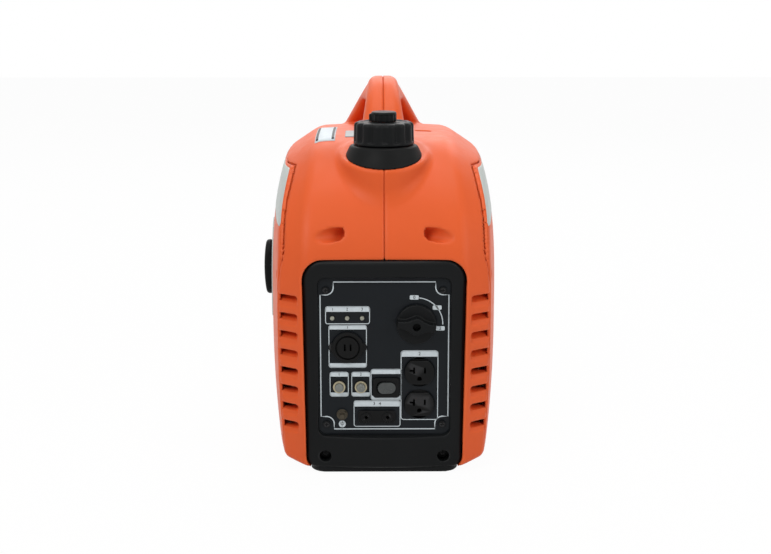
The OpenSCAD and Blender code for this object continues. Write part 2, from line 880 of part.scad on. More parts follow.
module vent_lever() {
    color(black) place() translate([0, filler_d, cap_top]) {
        translate([0, 0, run_gap]) cylinder(r = 15, h = 11.5);
        translate([-17.5, -4, run_gap]) cube([12, 8, 9]);
        translate([0, 0, -4.5]) cylinder(r = 5.2, h = 6);
    }
}

// ------------------------------------------------------------------ engine

module engine_bracket() {
    color(steel) place() difference() {
        union() {
            block(-78, 78, block_d - 6, block_d + block_l + 6, inner_floor, inner_floor + 3);
            for (s = [-1, 1])
                block(s > 0 ? 75 : -78, s > 0 ? 78 : -75, block_d - 6, block_d + block_l + 6,
                    inner_floor + 3, inner_floor + 14);
        }
        block(-34, 34, block_d + 20, block_d + block_l - 20, inner_floor - 1, inner_floor + 4);
    }
}

module engine_mounts() {
    color(rubber) place() for (s = [-1, 1], d = [block_d + 14, block_d + block_l - 14])
        translate([s * 50, d, inner_floor + 3]) cylinder(r = 10, h = 14);
}

module engine_block() {
    fin_n = 6;
    color(alloy) place() difference() {
        union() {
            block(-block_w / 2, block_w / 2, block_d, block_d + block_l,
                inner_floor + 17, crank_z + 30);
            rod_d(0, crank_z, 56, block_d, block_d + block_l);
            rod_x(barrel_d, barrel_z, 30, block_w / 2, head_x);
            for (k = [0:fin_n - 1])
                rod_x(barrel_d, barrel_z, 43, block_w / 2 + 4 + k * 7, block_w / 2 + 7 + k * 7);
            rod_x(barrel_d - 20, 70, 12, block_w / 2, block_w / 2 + 26);
        }
        rod_d(0, crank_z, 10 + shaft_gap, block_d - 1, block_d + block_l - 6);
        rod_x(barrel_d - 20, 70, 8, block_w / 2 + 6, block_w / 2 + 27);
    }
}

module cylinder_head() {
    color(alloy) place() {
        block(head_x, head_x + 14, barrel_d - 38, barrel_d + 38, barrel_z - 40, barrel_z + 40);
        for (k = [-2:2])
            block(head_x + 14, head_x + 19, barrel_d - 36, barrel_d + 36,
                barrel_z + k * 15 - 1.5, barrel_z + k * 15 + 1.5);
    }
}

module rocker_cover() {
    color(steel) place() difference() {
        block(head_x + 14, head_x + 26, barrel_d - 28, barrel_d + 28, barrel_z - 30, barrel_z + 30);
        for (k = [-2:2])
            block(head_x + 13, head_x + 19 + run_gap, barrel_d - 37, barrel_d + 37,
                barrel_z + k * 15 - 1.5 - run_gap, barrel_z + k * 15 + 1.5 + run_gap);
    }
}

module oil_filler_cap() {
    x = block_w / 2 + 26;
    color(black) place() difference() {
        union() {
            rod_x(barrel_d - 20, 70, 15, x + run_gap, x + 8);
            rod_x(barrel_d - 20, 70, 8 - shaft_gap, x - 16, x + run_gap);
        }
        for (s = [-1, 1])
            block(x + 4, x + 9, barrel_d - 20 + (s > 0 ? 3 : -16), barrel_d - 20 + (s > 0 ? 16 : -3), 54, 86);
    }
}

plug_x = head_x + 7;
plug_d = barrel_d - 38;

module spark_plug() {
    color(steel) place() {
        rod_d(plug_x, barrel_z - 14, 6.5, plug_d - 8, plug_d);
        rod_d(plug_x, barrel_z - 14, 4, plug_d - 24, plug_d - 8);
    }
}

module plug_cap() {
    color(rubber) place() difference() {
        union() {
            rod_d(plug_x, barrel_z - 14, 8, plug_d - 40, plug_d - 12);
            rod_x(plug_d - 36, barrel_z - 14, 5, plug_x - 24, plug_x);
        }
        rod_d(plug_x, barrel_z - 14, 4 + shaft_gap, plug_d - 24, plug_d - 11);
    }
}

carb_x = head_x - 2;
carb_z0 = barrel_z + 40;
carb_z1 = tank_z - 14;

module carburetor() {
    color(alloy) place() {
        rod_z(carb_x + 10, barrel_d, 9, carb_z0, carb_z0 + 12);
        block(carb_x - 16, carb_x + 14, barrel_d - 20, barrel_d + 20, carb_z0 + 12, carb_z1);
        block(carb_x - 3, carb_x + 3, block_d + 22, barrel_d - 20, tank_z - 33, tank_z - 27);
    }
}

module rod_z(x, d, r, z0, z1) {
    translate([x, d, z0]) cylinder(r = r, h = z1 - z0);
}

module air_cleaner() {
    z1 = deck_h - 62;
    color(black) place() {
        translate([72, barrel_d, carb_z1]) linear_extrude(z1 - carb_z1) round_rect(84, 104, 12);
        translate([114, barrel_d, carb_z1 + 14]) block(0, 5, -40, 40, 0, z1 - carb_z1 - 30);
    }
}

module muffler() {
    color(steel) place() {
        along_d(muffler_d, muffler_d + muffler_l) translate([5, 172]) round_rect(190, 110, 30);
        block(head_x + 1, head_x + 13, barrel_d + 38, muffler_d + 14, barrel_z - 6, barrel_z + 6);
        block(84, head_x + 13, muffler_d + 2, muffler_d + 14, barrel_z - 6, barrel_z + 6);
        block(-62, -42, muffler_d + 8, muffler_d + 50, inner_floor, 118);
    }
}

// ------------------------------------------------------------------ rotating

module crankshaft() {
    color(steel) place() rod_d(0, crank_z, 10, fan_d - 8, block_d + block_l - 8);
}

module rotor() {
    color(steel) place() difference() {
        rod_d(0, crank_z, 62, rotor_d, block_d - 6);
        rod_d(0, crank_z, 52, rotor_d + 5, block_d);
        rod_d(0, crank_z, 10, rotor_d - 1, block_d);
    }
}

module stator() {
    color(brass) place() difference() {
        union() {
            rod_d(0, crank_z, 49, rotor_d + 9, block_d - 6);
            rod_d(0, crank_z, 26, block_d - 6, block_d);
        }
        rod_d(0, crank_z, 14, rotor_d, block_d + 1);
    }
}

module cooling_fan() {
    blade_n = 18;
    color(black) place() difference() {
        union() {
            rod_d(0, crank_z, 68, rotor_d - 3, rotor_d);
            rod_d(0, crank_z, 24, fan_d, rotor_d);
            for (k = [0:blade_n - 1])
                translate([0, 0, crank_z]) rotate([0, k * 360 / blade_n, 0])
                    block(26, 67, fan_d + 2, rotor_d - 2, -1.2, 1.2);
        }
        rod_d(0, crank_z, 10, fan_d - 1, rotor_d + 1);
    }
}

module fan_shroud() {
    color(black) place() difference() {
        rod_d(0, crank_z, shroud_r, starter_d, block_d);
        rod_d(0, crank_z, shroud_r - 3, starter_d - 1, block_d + 1);
    }
}

module recoil_housing() {
    color(black) place() difference() {
        union() {
            difference() {
                rod_d(0, crank_z, shroud_r, housing_d, starter_d);
                rod_d(0, crank_z, shroud_r - 3, housing_d + 3, starter_d + 1);
            }
            rod_d(0, crank_z, 8, housing_d, housing_d + 24);
        }
        for (k = [0:11]) translate([0, 0, crank_z]) rotate([0, k * 30, 0])
            block(48, 68, housing_d - 1, housing_d + 4, -4, 4);
        rod_x(rope_d, rope_z, rope_r + 2, -90, -30);
    }
}

rope_d = housing_d + 15;

module starter_pulley() {
    flange = rope_arm + 5;
    groove = rope_arm - rope_r - run_gap;
    color(alloy) place() difference() {
        union() {
            rod_d(0, crank_z, flange, housing_d + 8, rope_d - rope_r - 0.6);
            rod_d(0, crank_z, groove, housing_d + 8, housing_d + 22);
            rod_d(0, crank_z, flange, rope_d + rope_r + 0.6, housing_d + 22);
        }
        rod_d(0, crank_z, 8 + shaft_gap, housing_d, housing_d + 30);
    }
}

module starter_rope() {
    color(rubber) place() rod_x(rope_d, rope_z, rope_r, grip_back_x + 10, 0);
}

// ------------------------------------------------------------------ starter

module starter_outline(w, h) {
    translate([rope_d, rope_z]) round_rect(w, h, w / 2 - 0.01);
}

module starter_bezel() {
    color(silver) place() difference() {
        union() {
            along_x(bezel_plate_x - 2.6, bezel_plate_x) starter_outline(60, 96);
            along_x(bezel_plate_x - 0.1, bezel_plate_x + 34) starter_outline(50, 84);
        }
        along_x(bezel_plate_x - 3, bezel_plate_x + 31) starter_outline(46, 80);
        rod_x(rope_d, rope_z, rope_r + 2, bezel_plate_x, bezel_plate_x + 40);
    }
}

module starter_grip() {
    color(rubber) place() {
        along_x(grip_back_x - grip_t, grip_back_x) starter_outline(grip_w, grip_h);
        rod_x(rope_d, rope_z, 6, grip_back_x, grip_back_x + 10);
    }
}

// ------------------------------------------------------------------ inverter

inverter_top = 190;

module inverter_unit() {
    fin_n = 15;
    color(alloy) place() {
        block(-74, 74, 62, 104, inner_floor, inverter_top);
        for (k = [0:fin_n - 1]) let (x = -70 + k * 10)
            block(x - 1.2, x + 1.2, 104, 122, inner_floor + 8, inverter_top - 8);
    }
}

// ------------------------------------------------------------------ nodes

left_case();
right_case();
left_side_cover();
right_side_cover();
side_cover_screws();
control_bezel();
control_plate();
panel_screws();
bezel_screws();
case_screws();
base_tray();
rubber_feet();
rear_cover();
rear_cover_screws();
spark_arrester();
fuel_tank();
tank_support();
fuel_hose();
filler_collar();
fuel_cap();
fuel_cap_gasket();
vent_lever();
engine_bracket();
engine_mounts();
engine_block();
cylinder_head();
rocker_cover();
oil_filler_cap();
spark_plug();
plug_cap();
carburetor();
air_cleaner();
muffler();
crankshaft();
rotor();
stator();
cooling_fan();
fan_shroud();
recoil_housing();
starter_pulley();
starter_rope();
starter_grip();
starter_bezel();
inverter_unit();
engine_switch_knob();
engine_switch_body();
ac_receptacle();
dc_socket();
dc_breaker_body();
dc_breaker_button();
ac_breaker_body();
ac_breaker_button();
economy_switch();
economy_rocker();
parallel_sockets();
ground_stud();
ground_nut();
indicator_lamps();
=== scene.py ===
"""Looks of a portable generator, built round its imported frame.

Lengths are millimetres in the body's own axes: x across from the centre seam, d back
from the front face, z up from the ground. to_metres() moves them to the frame.
"""
import json
import math

import bmesh
import bpy
import numpy as np
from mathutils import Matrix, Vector

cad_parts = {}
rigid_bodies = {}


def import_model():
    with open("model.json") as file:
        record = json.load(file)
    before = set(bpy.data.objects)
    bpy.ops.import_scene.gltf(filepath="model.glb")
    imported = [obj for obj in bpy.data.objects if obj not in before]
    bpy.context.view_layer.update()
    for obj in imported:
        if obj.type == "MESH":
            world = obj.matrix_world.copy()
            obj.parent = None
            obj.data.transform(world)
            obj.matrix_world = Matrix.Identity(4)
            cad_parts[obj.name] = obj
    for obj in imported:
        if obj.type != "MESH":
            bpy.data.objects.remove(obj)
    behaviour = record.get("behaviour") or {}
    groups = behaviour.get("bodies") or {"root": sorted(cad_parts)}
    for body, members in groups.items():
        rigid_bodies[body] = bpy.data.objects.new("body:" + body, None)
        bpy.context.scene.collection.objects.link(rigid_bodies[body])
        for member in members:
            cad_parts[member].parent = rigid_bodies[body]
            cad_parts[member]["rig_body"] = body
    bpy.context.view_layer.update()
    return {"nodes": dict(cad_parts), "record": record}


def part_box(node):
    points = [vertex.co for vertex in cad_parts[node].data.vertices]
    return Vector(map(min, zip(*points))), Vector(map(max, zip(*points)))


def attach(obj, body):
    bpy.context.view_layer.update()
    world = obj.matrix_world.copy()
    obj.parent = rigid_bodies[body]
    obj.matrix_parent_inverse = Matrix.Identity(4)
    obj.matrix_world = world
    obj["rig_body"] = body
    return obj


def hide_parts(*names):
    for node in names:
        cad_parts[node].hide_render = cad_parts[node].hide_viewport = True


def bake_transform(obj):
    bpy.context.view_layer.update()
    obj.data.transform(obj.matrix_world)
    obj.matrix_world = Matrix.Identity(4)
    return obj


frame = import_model()


def node_box(name):
    """Corners of a CAD node in the body's axes, in millimetres."""
    lo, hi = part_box(name)
    low = [(a - b) * 1000 for a, b in zip(lo, ORIGIN)]
    high = [(a - b) * 1000 for a, b in zip(hi, ORIGIN)]
    return low, high


bezel_lo, bezel_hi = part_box("control_bezel")
ORIGIN = Vector(((bezel_lo.x + bezel_hi.x) / 2, bezel_lo.y, 0.0))

# ---------- dimensions

LENGTH = 520.0          # front face to rear face
MID = LENGTH / 2
HALF_W = 141.5          # half width under the side covers
COVER_T = 2.4           # how far covers and corners stand outside that
FRONT_TAPER, REAR_TAPER = 22.0, 19.0
DECK = 388.0            # highest line of the deck
FLOOR = 6.5             # underside of the case
WIDE_Z = 160.0          # height of the widest section
UPPER_PULL, LOWER_PULL = 0.234, 0.0594
NOSE_R, TAIL_R = 170.0, 110.0
CREST_D, REAR_FALL, SIDE_FALL = 180.0, 0.00025, 0.0006    # how the deck falls away
FLAT_HALF = 25.0        # the deck is level across this far from the seam
CHAMFER_SIDE, CHAMFER_FACE = 28.0, 22.0
SILL_SIDE, SILL_FACE = 27.0, 9.0     # slope along the lower edges: inwards, upwards
WALL = 3.2
STEP = 2.0              # grid step of the big shells

cap_lo, cap_hi = node_box("fuel_cap")
FILLER_D = (cap_lo[1] + cap_hi[1]) / 2
CAP_Z0, CAP_Z1 = cap_lo[2], cap_hi[2]
BOSS_R, BOSS_TILT, BOSS_Z = 53.0, math.radians(14), DECK - 15

COVER_FRONT, COVER_REAR = 25.0, LENGTH - 36.0
COVER_Z0, COVER_Z1, COVER_R = 24.0, DECK - 32, 24.0
COVER_MARGIN = 19.0
COVER_DEPTH = 2.0       # how far the covers' seat lies inside HALF_W
HATCH_RIM = 24.0        # ledge between a cover's edge and the opening behind it
CAD_SIDE = 145.0        # the CAD body's half width

BEZEL_W, BEZEL_H, BEZEL_Z, BEZEL_R = 191.0, 252.0, 133.0, 24.0
BEZEL_FOOT_R, BEZEL_TAPER = 12.0, 0.034   # its lower corners, and how much it narrows
TAPER_TOP, TAPER_SPAN = 235.0, 225.0      # height at which it starts to narrow, and how far down
BEZEL_DEPTH = 26.0
WINDOW_W, WINDOW_H, WINDOW_Z = 154.0, 189.0, 142.5
BULGE_R = 600.0
PLATE_D = node_box("control_plate")[0][1]
SCREW_X, SCREW_Z = 70.0, 22.0
KNOB_X, KNOB_Z = 37.5, 183.0

LOUVRES, LOUVRE_Z, LOUVRE_PITCH = 8, 56.0, 22.0
LOUVRE_X, LOUVRE_LEAN = 111.5, 0.08       # the slots' middle, moving outwards with depth
LOUVRE_W, LOUVRE_H = 21.0, 12.6
OPEN_LOUVRES = 4        # the lowest ones go right through the wall
POCKET_X, POCKET_Z = 64.0, 287.0

HANDLE_TOP, HANDLE_MID, HANDLE_BOW = 450.0, 258.0, 0.0009
HANDLE_FRONT, HANDLE_REAR = 146.0, 385.0  # where the arch's slopes meet the deck
GAP_TOP, GAP_FRONT, GAP_REAR = 421.0, 192.0, 344.0        # opening for the fingers

grip_lo, grip_hi = node_box("starter_grip")
STARTER_D, STARTER_Z = (grip_lo[1] + grip_hi[1]) / 2, (grip_lo[2] + grip_hi[2]) / 2
STARTER_HOLE = (51.6, 85.6)
GRIP_X0 = grip_lo[0]
INNER_X = 70.0          # openings in a side are cut outwards from here


# ---------- distance fields

def round_max(a, b, r):
    """Intersection of two fields with a rounded edge."""
    corner = np.hypot(np.maximum(a + r, 0), np.maximum(b + r, 0))
    return np.minimum(np.maximum(a, b), -r) + corner


def round_min(a, b, r):
    """Union of two fields with a fillet."""
    corner = np.hypot(np.maximum(r - a, 0), np.maximum(r - b, 0))
    return np.maximum(np.minimum(a, b), r) - corner


def rect2(u, v, w, h, r):
    """Rounded rectangle of width w and height h about the origin."""
    a, b = np.abs(u) - w / 2 + r, np.abs(v) - h / 2 + r
    return np.hypot(np.maximum(a, 0), np.maximum(b, 0)) + np.minimum(np.maximum(a, b), 0) - r


def smooth_step(t):
    """0 below 0, 1 above 1, and a smooth rise between."""
    t = np.clip(t, 0, 1)
    return t * t * (3 - 2 * t)


def half_width(d, z):
    """Half width of the body at a place on its side."""
    taper = np.where(d < MID, FRONT_TAPER, REAR_TAPER)
    plan = HALF_W - taper * (1 - d / MID) ** 2
    up = np.clip((z - WIDE_Z) / (DECK - WIDE_Z), 0, None)
    down = np.clip((WIDE_Z - z) / (WIDE_Z - FLOOR), 0, None)
    return plan * (1 - UPPER_PULL * up ** 3.5 - LOWER_PULL * down ** 2.2)


def profile_field(d, z, x=0.0):
    """The body's outline seen from the side. The deck falls to the rear and to the sides."""
    fall = REAR_FALL * np.clip(d - CREST_D, 0, None) ** 2
    fall = fall + SIDE_FALL * np.clip(np.abs(x) - FLAT_HALF, 0, None) ** 2
    nose = round_max(-d, z - DECK + fall * smooth_step((z - 300) / 60), NOSE_R)
    return round_max(nose, d - LENGTH, TAIL_R)


def body_field(x, d, z, grow=0.0):
    """The closed body, with chamfered and softened corners."""
    side = np.abs(x) - half_width(d, z) - grow
    face = profile_field(d, z, x)
    across = math.hypot(CHAMFER_SIDE, CHAMFER_FACE)
    chamfer = (CHAMFER_FACE * side + CHAMFER_SIDE * face + CHAMFER_SIDE * CHAMFER_FACE) / across
    body = round_max(round_max(side, chamfer, 4), face, 4)
    under = (SILL_SIDE * (FLOOR - z) + SILL_FACE * side + SILL_SIDE * SILL_FACE)
    under = under / math.hypot(SILL_SIDE, SILL_FACE)
    return round_max(round_max(body, under, 6), FLOOR - z, 5)


def boss_top(d, z):
    """The filler boss's tilted upper face."""
    return (z - BOSS_Z - (d - FILLER_D) * math.tan(BOSS_TILT)) * math.cos(BOSS_TILT)


def boss_field(x, d, z):
    """The round swelling of the nose under the filler."""
    return round_max(np.hypot(x, d - FILLER_D) - BOSS_R, boss_top(d, z), 4)


def handle_front(d, z, foot):
    """Slope that rises backwards at 45 degrees from the deck at foot."""
    return (z - DECK - (d - foot)) * 0.707


def handle_rear(d, z, foot):
    """Slope that falls backwards to the deck at foot."""
    return 0.654 * (d - foot) + 0.756 * (z - DECK)


def handle_field(x, d, z):
    """The carry handle: an arch over the deck, wider at its feet."""
    top = z - HANDLE_TOP + HANDLE_BOW * (d - HANDLE_MID) ** 2
    arch = round_max(round_max(top, handle_front(d, z, HANDLE_FRONT), 26),
                     handle_rear(d, z, HANDLE_REAR), 30)
    gap = round_max(round_max(z - GAP_TOP, handle_front(d, z, GAP_FRONT), 13),
                    handle_rear(d, z, GAP_REAR), 13)
    arch = round_max(arch, -gap, 9)
    behind = smooth_step((d - 225) / 70)
    drop = np.clip(441 - z, 0, 62)
    half = 17.0 + drop * (0.16 + 0.36 * behind)
    return round_max(arch, np.abs(x) - half, 10)


def cover_outline(d, z):
    """A side cover's outline: a rounded rectangle, trimmed along the body's profile."""
    return inset_cover(d, z, 0)


def inset_cover(d, z, rim):
    """The same outline, moved in by rim."""
    mid_d, mid_z = (COVER_FRONT + COVER_REAR) / 2, (COVER_Z0 + COVER_Z1) / 2
    plate = rect2(d - mid_d, z - mid_z, COVER_REAR - COVER_FRONT - 2 * rim,
                  COVER_Z1 - COVER_Z0 - 2 * rim, COVER_R)
    return np.maximum(plate, profile_field(d, z) + COVER_MARGIN + rim)


def bezel_outline(x, z, grow=0.0):
    """Outline of the control frame: it narrows downwards."""
    narrow = 1 - BEZEL_TAPER * np.clip((TAPER_TOP - z) / TAPER_SPAN, 0, 1)
    radius = np.where(z > BEZEL_Z, BEZEL_R, BEZEL_FOOT_R)
    return rect2(x / narrow, z - BEZEL_Z, BEZEL_W, BEZEL_H, radius) - grow


def starter_oval(d, z, w, h):
    """Upright oval round the starter's axis."""
    return rect2(d - STARTER_D, z - STARTER_Z, w, h, w / 2)


# ---------- field to mesh

class Grid:
    """A sampled box of space. Fields are made from its x, d and z axes."""

    def __init__(self, lo, hi, step):
        self.lo, self.step = np.array(lo, float), step
        axes = [np.arange(a, b + step, step) for a, b in zip(lo, hi)]
        self.axes = axes
        self.x = axes[0][:, None, None]
        self.d = axes[1][None, :, None]
        self.z = axes[2][None, None, :]

    def carve(self, field, lo, hi, cut, add=False):
        """Cuts a shape out of a field, or adds it, inside one small box."""
        picks = []
        for axis, a, b in zip(self.axes, lo, hi):
            picks.append(slice(np.searchsorted(axis, a), np.searchsorted(axis, b) + 1))
        x = self.axes[0][picks[0]][:, None, None]
        d = self.axes[1][picks[1]][None, :, None]
        z = self.axes[2][picks[2]][None, None, :]
        part = field[tuple(picks)]
        shape = cut(x, d, z)
        field[tuple(picks)] = np.minimum(part, shape) if add else np.maximum(part, -shape)

    def net(self, field):
        """Points and quads of the field's zero surface, one point per cell it crosses."""
        inside = field < 0
        cells = np.array(field.shape) - 1
        ids, points, rings = [], [], []
        for axis in range(3):
            low, high = [slice(None)] * 3, [slice(None)] * 3
            low[axis], high[axis] = slice(0, -1), slice(1, None)
            cross = np.argwhere(inside[tuple(low)] != inside[tuple(high)])
            beyond = cross.copy()
            beyond[:, axis] += 1
            a, b = field[tuple(cross.T)], field[tuple(beyond.T)]
            point = cross.astype(float)
            point[:, axis] += a / (a - b)
            u, v = [k for k in range(3) if k != axis]
            ring = []
            for du, dv in ((0, 0), (1, 0), (1, 1), (0, 1)):
                cell = cross.copy()
                cell[:, u] -= du
                cell[:, v] -= dv
                real = ((cell >= 0) & (cell < cells)).all(1)
                flat = np.ravel_multi_index(np.clip(cell, 0, cells - 1).T, cells)
                ring.append(np.where(real, flat, -1))
                ids.append(flat[real])
                points.append(point[real])
            ring = np.array(ring).T
            turned = (a < 0) != (axis == 1)
            ring[~turned] = ring[~turned][:, ::-1]
            rings.append(ring[(ring >= 0).all(1)])
        ids, points, rings = np.concatenate(ids), np.concatenate(points), np.concatenate(rings)
        cell, index, count = np.unique(ids, return_inverse=True, return_counts=True)
        verts = np.stack([np.bincount(index, points[:, k]) / count for k in range(3)], 1)
        verts = self.settle(field, verts)
        return self.lo + verts * self.step, np.searchsorted(cell, rings)

    def settle(self, field, verts):
        """Moves points onto the zero surface along the field's slope."""
        for _ in range(2):
            base = np.clip(np.floor(verts).astype(int), 0, np.array(field.shape) - 2)
            f = verts - base
            c = {}
            for key in np.ndindex(2, 2, 2):
                c[key] = field[base[:, 0] + key[0], base[:, 1] + key[1], base[:, 2] + key[2]]
            w = [(1 - f[:, k], f[:, k]) for k in range(3)]
            value = sum(c[k] * w[0][k[0]] * w[1][k[1]] * w[2][k[2]] for k in c)
            slope = np.zeros_like(verts)
            for k in c:
                slope[:, 0] += c[k] * (2 * k[0] - 1) * w[1][k[1]] * w[2][k[2]]
                slope[:, 1] += c[k] * (2 * k[1] - 1) * w[0][k[0]] * w[2][k[2]]
                slope[:, 2] += c[k] * (2 * k[2] - 1) * w[0][k[0]] * w[1][k[1]]
            size = np.maximum((slope ** 2).sum(1), 1e-6)
            verts = verts - np.clip((value / size)[:, None] * slope, -0.4, 0.4)
        return verts


def to_metres(points):
    """Points from the body's axes in millimetres to the frame in metres."""
    return np.asarray(points, float) / 1000 + np.array(ORIGIN)


def into_scene(name, data):
    """An object of that name, linked into the scene."""
    obj = bpy.data.objects.new(name, data)
    bpy.context.scene.collection.objects.link(obj)
    return obj


def shade(mesh, smooth=True):
    mesh.polygons.foreach_set("use_smooth", [smooth] * len(mesh.polygons))


def new_mesh(name, points, faces, material, smooth=True):
    """An object from points in millimetres."""
    mesh = bpy.data.meshes.new(name)
    mesh.from_pydata(to_metres(points).tolist(), [], [list(f) for f in faces])
    mesh.validate()
    shade(mesh, smooth)
    mesh.materials.append(material)
    return into_scene(name, mesh)


def net_mesh(name, points, quads, material):
    """The same for the big quad nets, with fast array calls."""
    mesh = bpy.data.meshes.new(name)
    n = len(quads)
    mesh.vertices.add(len(points))
    mesh.vertices.foreach_set("co", to_metres(points).astype(np.float32).ravel())
    mesh.loops.add(4 * n)
    mesh.loops.foreach_set("vertex_index", quads.astype(np.int32).ravel())
    mesh.polygons.add(n)
    mesh.polygons.foreach_set("loop_start", np.arange(0, 4 * n, 4, dtype=np.int32))
    mesh.update(calc_edges=True)
    mesh.validate()
    shade(mesh)
    mesh.materials.append(material)
    return into_scene(name, mesh)


def apply_modifiers(obj):
    """Replaces an object's mesh by what its modifiers make of it."""
    bpy.context.view_layer.update()
    evaluated = obj.evaluated_get(bpy.context.evaluated_depsgraph_get())
    old = obj.data
    obj.data = bpy.data.meshes.new_from_object(evaluated)
    obj.modifiers.clear()
    bpy.data.meshes.remove(old)


def thin_inside(obj, hidden, faces_wanted):
    """Decimates only the points whose flag in hidden is set, down to a face count."""
    triangles = 2 * len(obj.data.polygons)
    if triangles <= faces_wanted:
        return
    group = obj.vertex_groups.new(name="inside")
    group.add(np.nonzero(hidden)[0].tolist(), 1.0, "REPLACE")
    thin = obj.modifiers.new("thin", "DECIMATE")
    thin.ratio = faces_wanted / triangles
    thin.vertex_group = "inside"
    thin.vertex_group_factor = 10
    apply_modifiers(obj)
    obj.vertex_groups.clear()
    shade(obj.data)


def solid(name, lo, hi, step, field, material, body, replaces=()):
    """A piece made from one field over a small box."""
    grid = Grid([a - 2 * step for a in lo], [b + 2 * step for b in hi], step)
    values = np.broadcast_to(field(grid.x, grid.d, grid.z),
                             [len(a) for a in grid.axes]).copy()
    points, quads = grid.net(values)
    obj = net_mesh(name, points, quads, material)
    return place(obj, body, replaces)


def skin_faces(n, m):
    """Faces of a closed thin skin: n by m front points, then as many behind them."""
    front = [(i * m + k, (i + 1) * m + k, (i + 1) * m + k + 1, i * m + k + 1)
             for i in range(n - 1) for k in range(m - 1)]
    back = n * m
    faces = front + [tuple(back + v for v in reversed(f)) for f in front]
    rim = [i * m for i in range(n)] + [(n - 1) * m + k for k in range(1, m)]
    rim += [i * m + m - 1 for i in range(n - 2, -1, -1)] + [k for k in range(m - 2, 0, -1)]
    return faces + [(a, a + back, b + back, b) for a, b in zip(rim, rim[1:] + rim[:1])]


def place(obj, body, replaces=()):
    """Ties a piece to its body, and hides the CAD nodes that it stands for."""
    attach(obj, body)
    if replaces:
        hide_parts(*replaces)
    return obj


# ---------- materials

class Shader:
    """One node material with a principled shader."""

    def __init__(self, name, color, rough, metallic=0.0):
        self.mat = bpy.data.materials.new(name)
        self.mat.use_nodes = True
        self.tree = self.mat.node_tree
        self.bsdf = self.tree.nodes["Principled BSDF"]
        self.bsdf.inputs["Base Color"].default_value = (*color, 1)
        self.bsdf.inputs["Roughness"].default_value = rough
        self.bsdf.inputs["Metallic"].default_value = metallic
        self.color, self.rough = color, rough
        self.coords = self.tree.nodes.new("ShaderNodeTexCoord").outputs["Object"]

    def node(self, kind, **values):
        """A node with sockets or settings given by name."""
        node = self.tree.nodes.new(kind)
        for key, value in values.items():
            if key in node.inputs.keys():
                node.inputs[key].default_value = value
            else:
                setattr(node, key, value)
        return node

    def link(self, a, b):
        self.tree.links.new(a, b)

    def noise(self, scale, detail, stretch=None):
        """A noise value over the object. stretch scales it per axis."""
        coords = self.coords
        if stretch:
            mapping = self.node("ShaderNodeMapping")
            mapping.inputs["Scale"].default_value = stretch
            self.link(coords, mapping.inputs["Vector"])
            coords = mapping.outputs["Vector"]
        noise = self.node("ShaderNodeTexNoise", Scale=scale, Detail=detail)
        self.link(coords, noise.inputs["Vector"])
        return noise.outputs["Fac"]

    def ramp(self, value, low, high, out_low, out_high):
        """Maps low..high to out_low..out_high."""
        spread = self.node("ShaderNodeMapRange")
        for key, number in zip(("From Min", "From Max", "To Min", "To Max"),
                               (low, high, out_low, out_high)):
            spread.inputs[key].default_value = number
        self.link(value, spread.inputs["Value"])
        return spread.outputs["Result"]

    def mottle(self, scale, amount):
        """Slow variation of the colour, brighter and darker."""
        mix = self.node("ShaderNodeMix", data_type="RGBA")
        low = [c * (1 - amount) for c in self.color]
        high = [min(1, c * (1 + amount)) for c in self.color]
        mix.inputs[6].default_value = (*low, 1)
        mix.inputs[7].default_value = (*high, 1)
        self.link(self.ramp(self.noise(scale, 4), 0.3, 0.7, 0, 1), mix.inputs[0])
        self.link(mix.outputs[2], self.bsdf.inputs["Base Color"])
        self.paint = mix.outputs[2]
        return self

    def roughen(self, scale, amount, stretch=None):
        """Patches of more and less sheen."""
        value = self.ramp(self.noise(scale, 3, stretch), 0.3, 0.7,
                          self.rough - amount, self.rough + amount)
        self.link(value, self.bsdf.inputs["Roughness"])
        return self

    def bump(self, scale, depth, stretch=None):
        """Adds surface grain of the given depth in metres."""
        node = self.node("ShaderNodeBump", Strength=1.0, Distance=depth)
        self.link(self.noise(scale, 2, stretch), node.inputs["Height"])
        self.link(node.outputs["Normal"], self.bsdf.inputs["Normal"])
        return self

    def worn(self, color, amount):
        """Edges rubbed towards a paler colour."""
        geometry = self.node("ShaderNodeNewGeometry")
        edge = self.ramp(geometry.outputs["Pointiness"], 0.53, 0.62, 0, amount)
        mix = self.node("ShaderNodeMix", data_type="RGBA")
        self.link(edge, mix.inputs[0])
        self.link(self.paint, mix.inputs[6])
        mix.inputs[7].default_value = (*color, 1)
        self.link(mix.outputs[2], self.bsdf.inputs["Base Color"])
        return self


def material(name, color, rough, mottle, sheen, grain, metallic=0.0, worn=None,
             specular=0.5, clear=0.0):
    """Mottled colour, patches of sheen and a fine grain, and on some pieces rubbed edges."""
    shader = Shader(name, color, rough, metallic)
    shader.mottle(*mottle).roughen(*sheen).bump(*grain)
    if worn:
        shader.worn(*worn)
    shader.bsdf.inputs["Specular IOR Level"].default_value = specular
    shader.bsdf.inputs["Transmission Weight"].default_value = clear
    return shader.mat


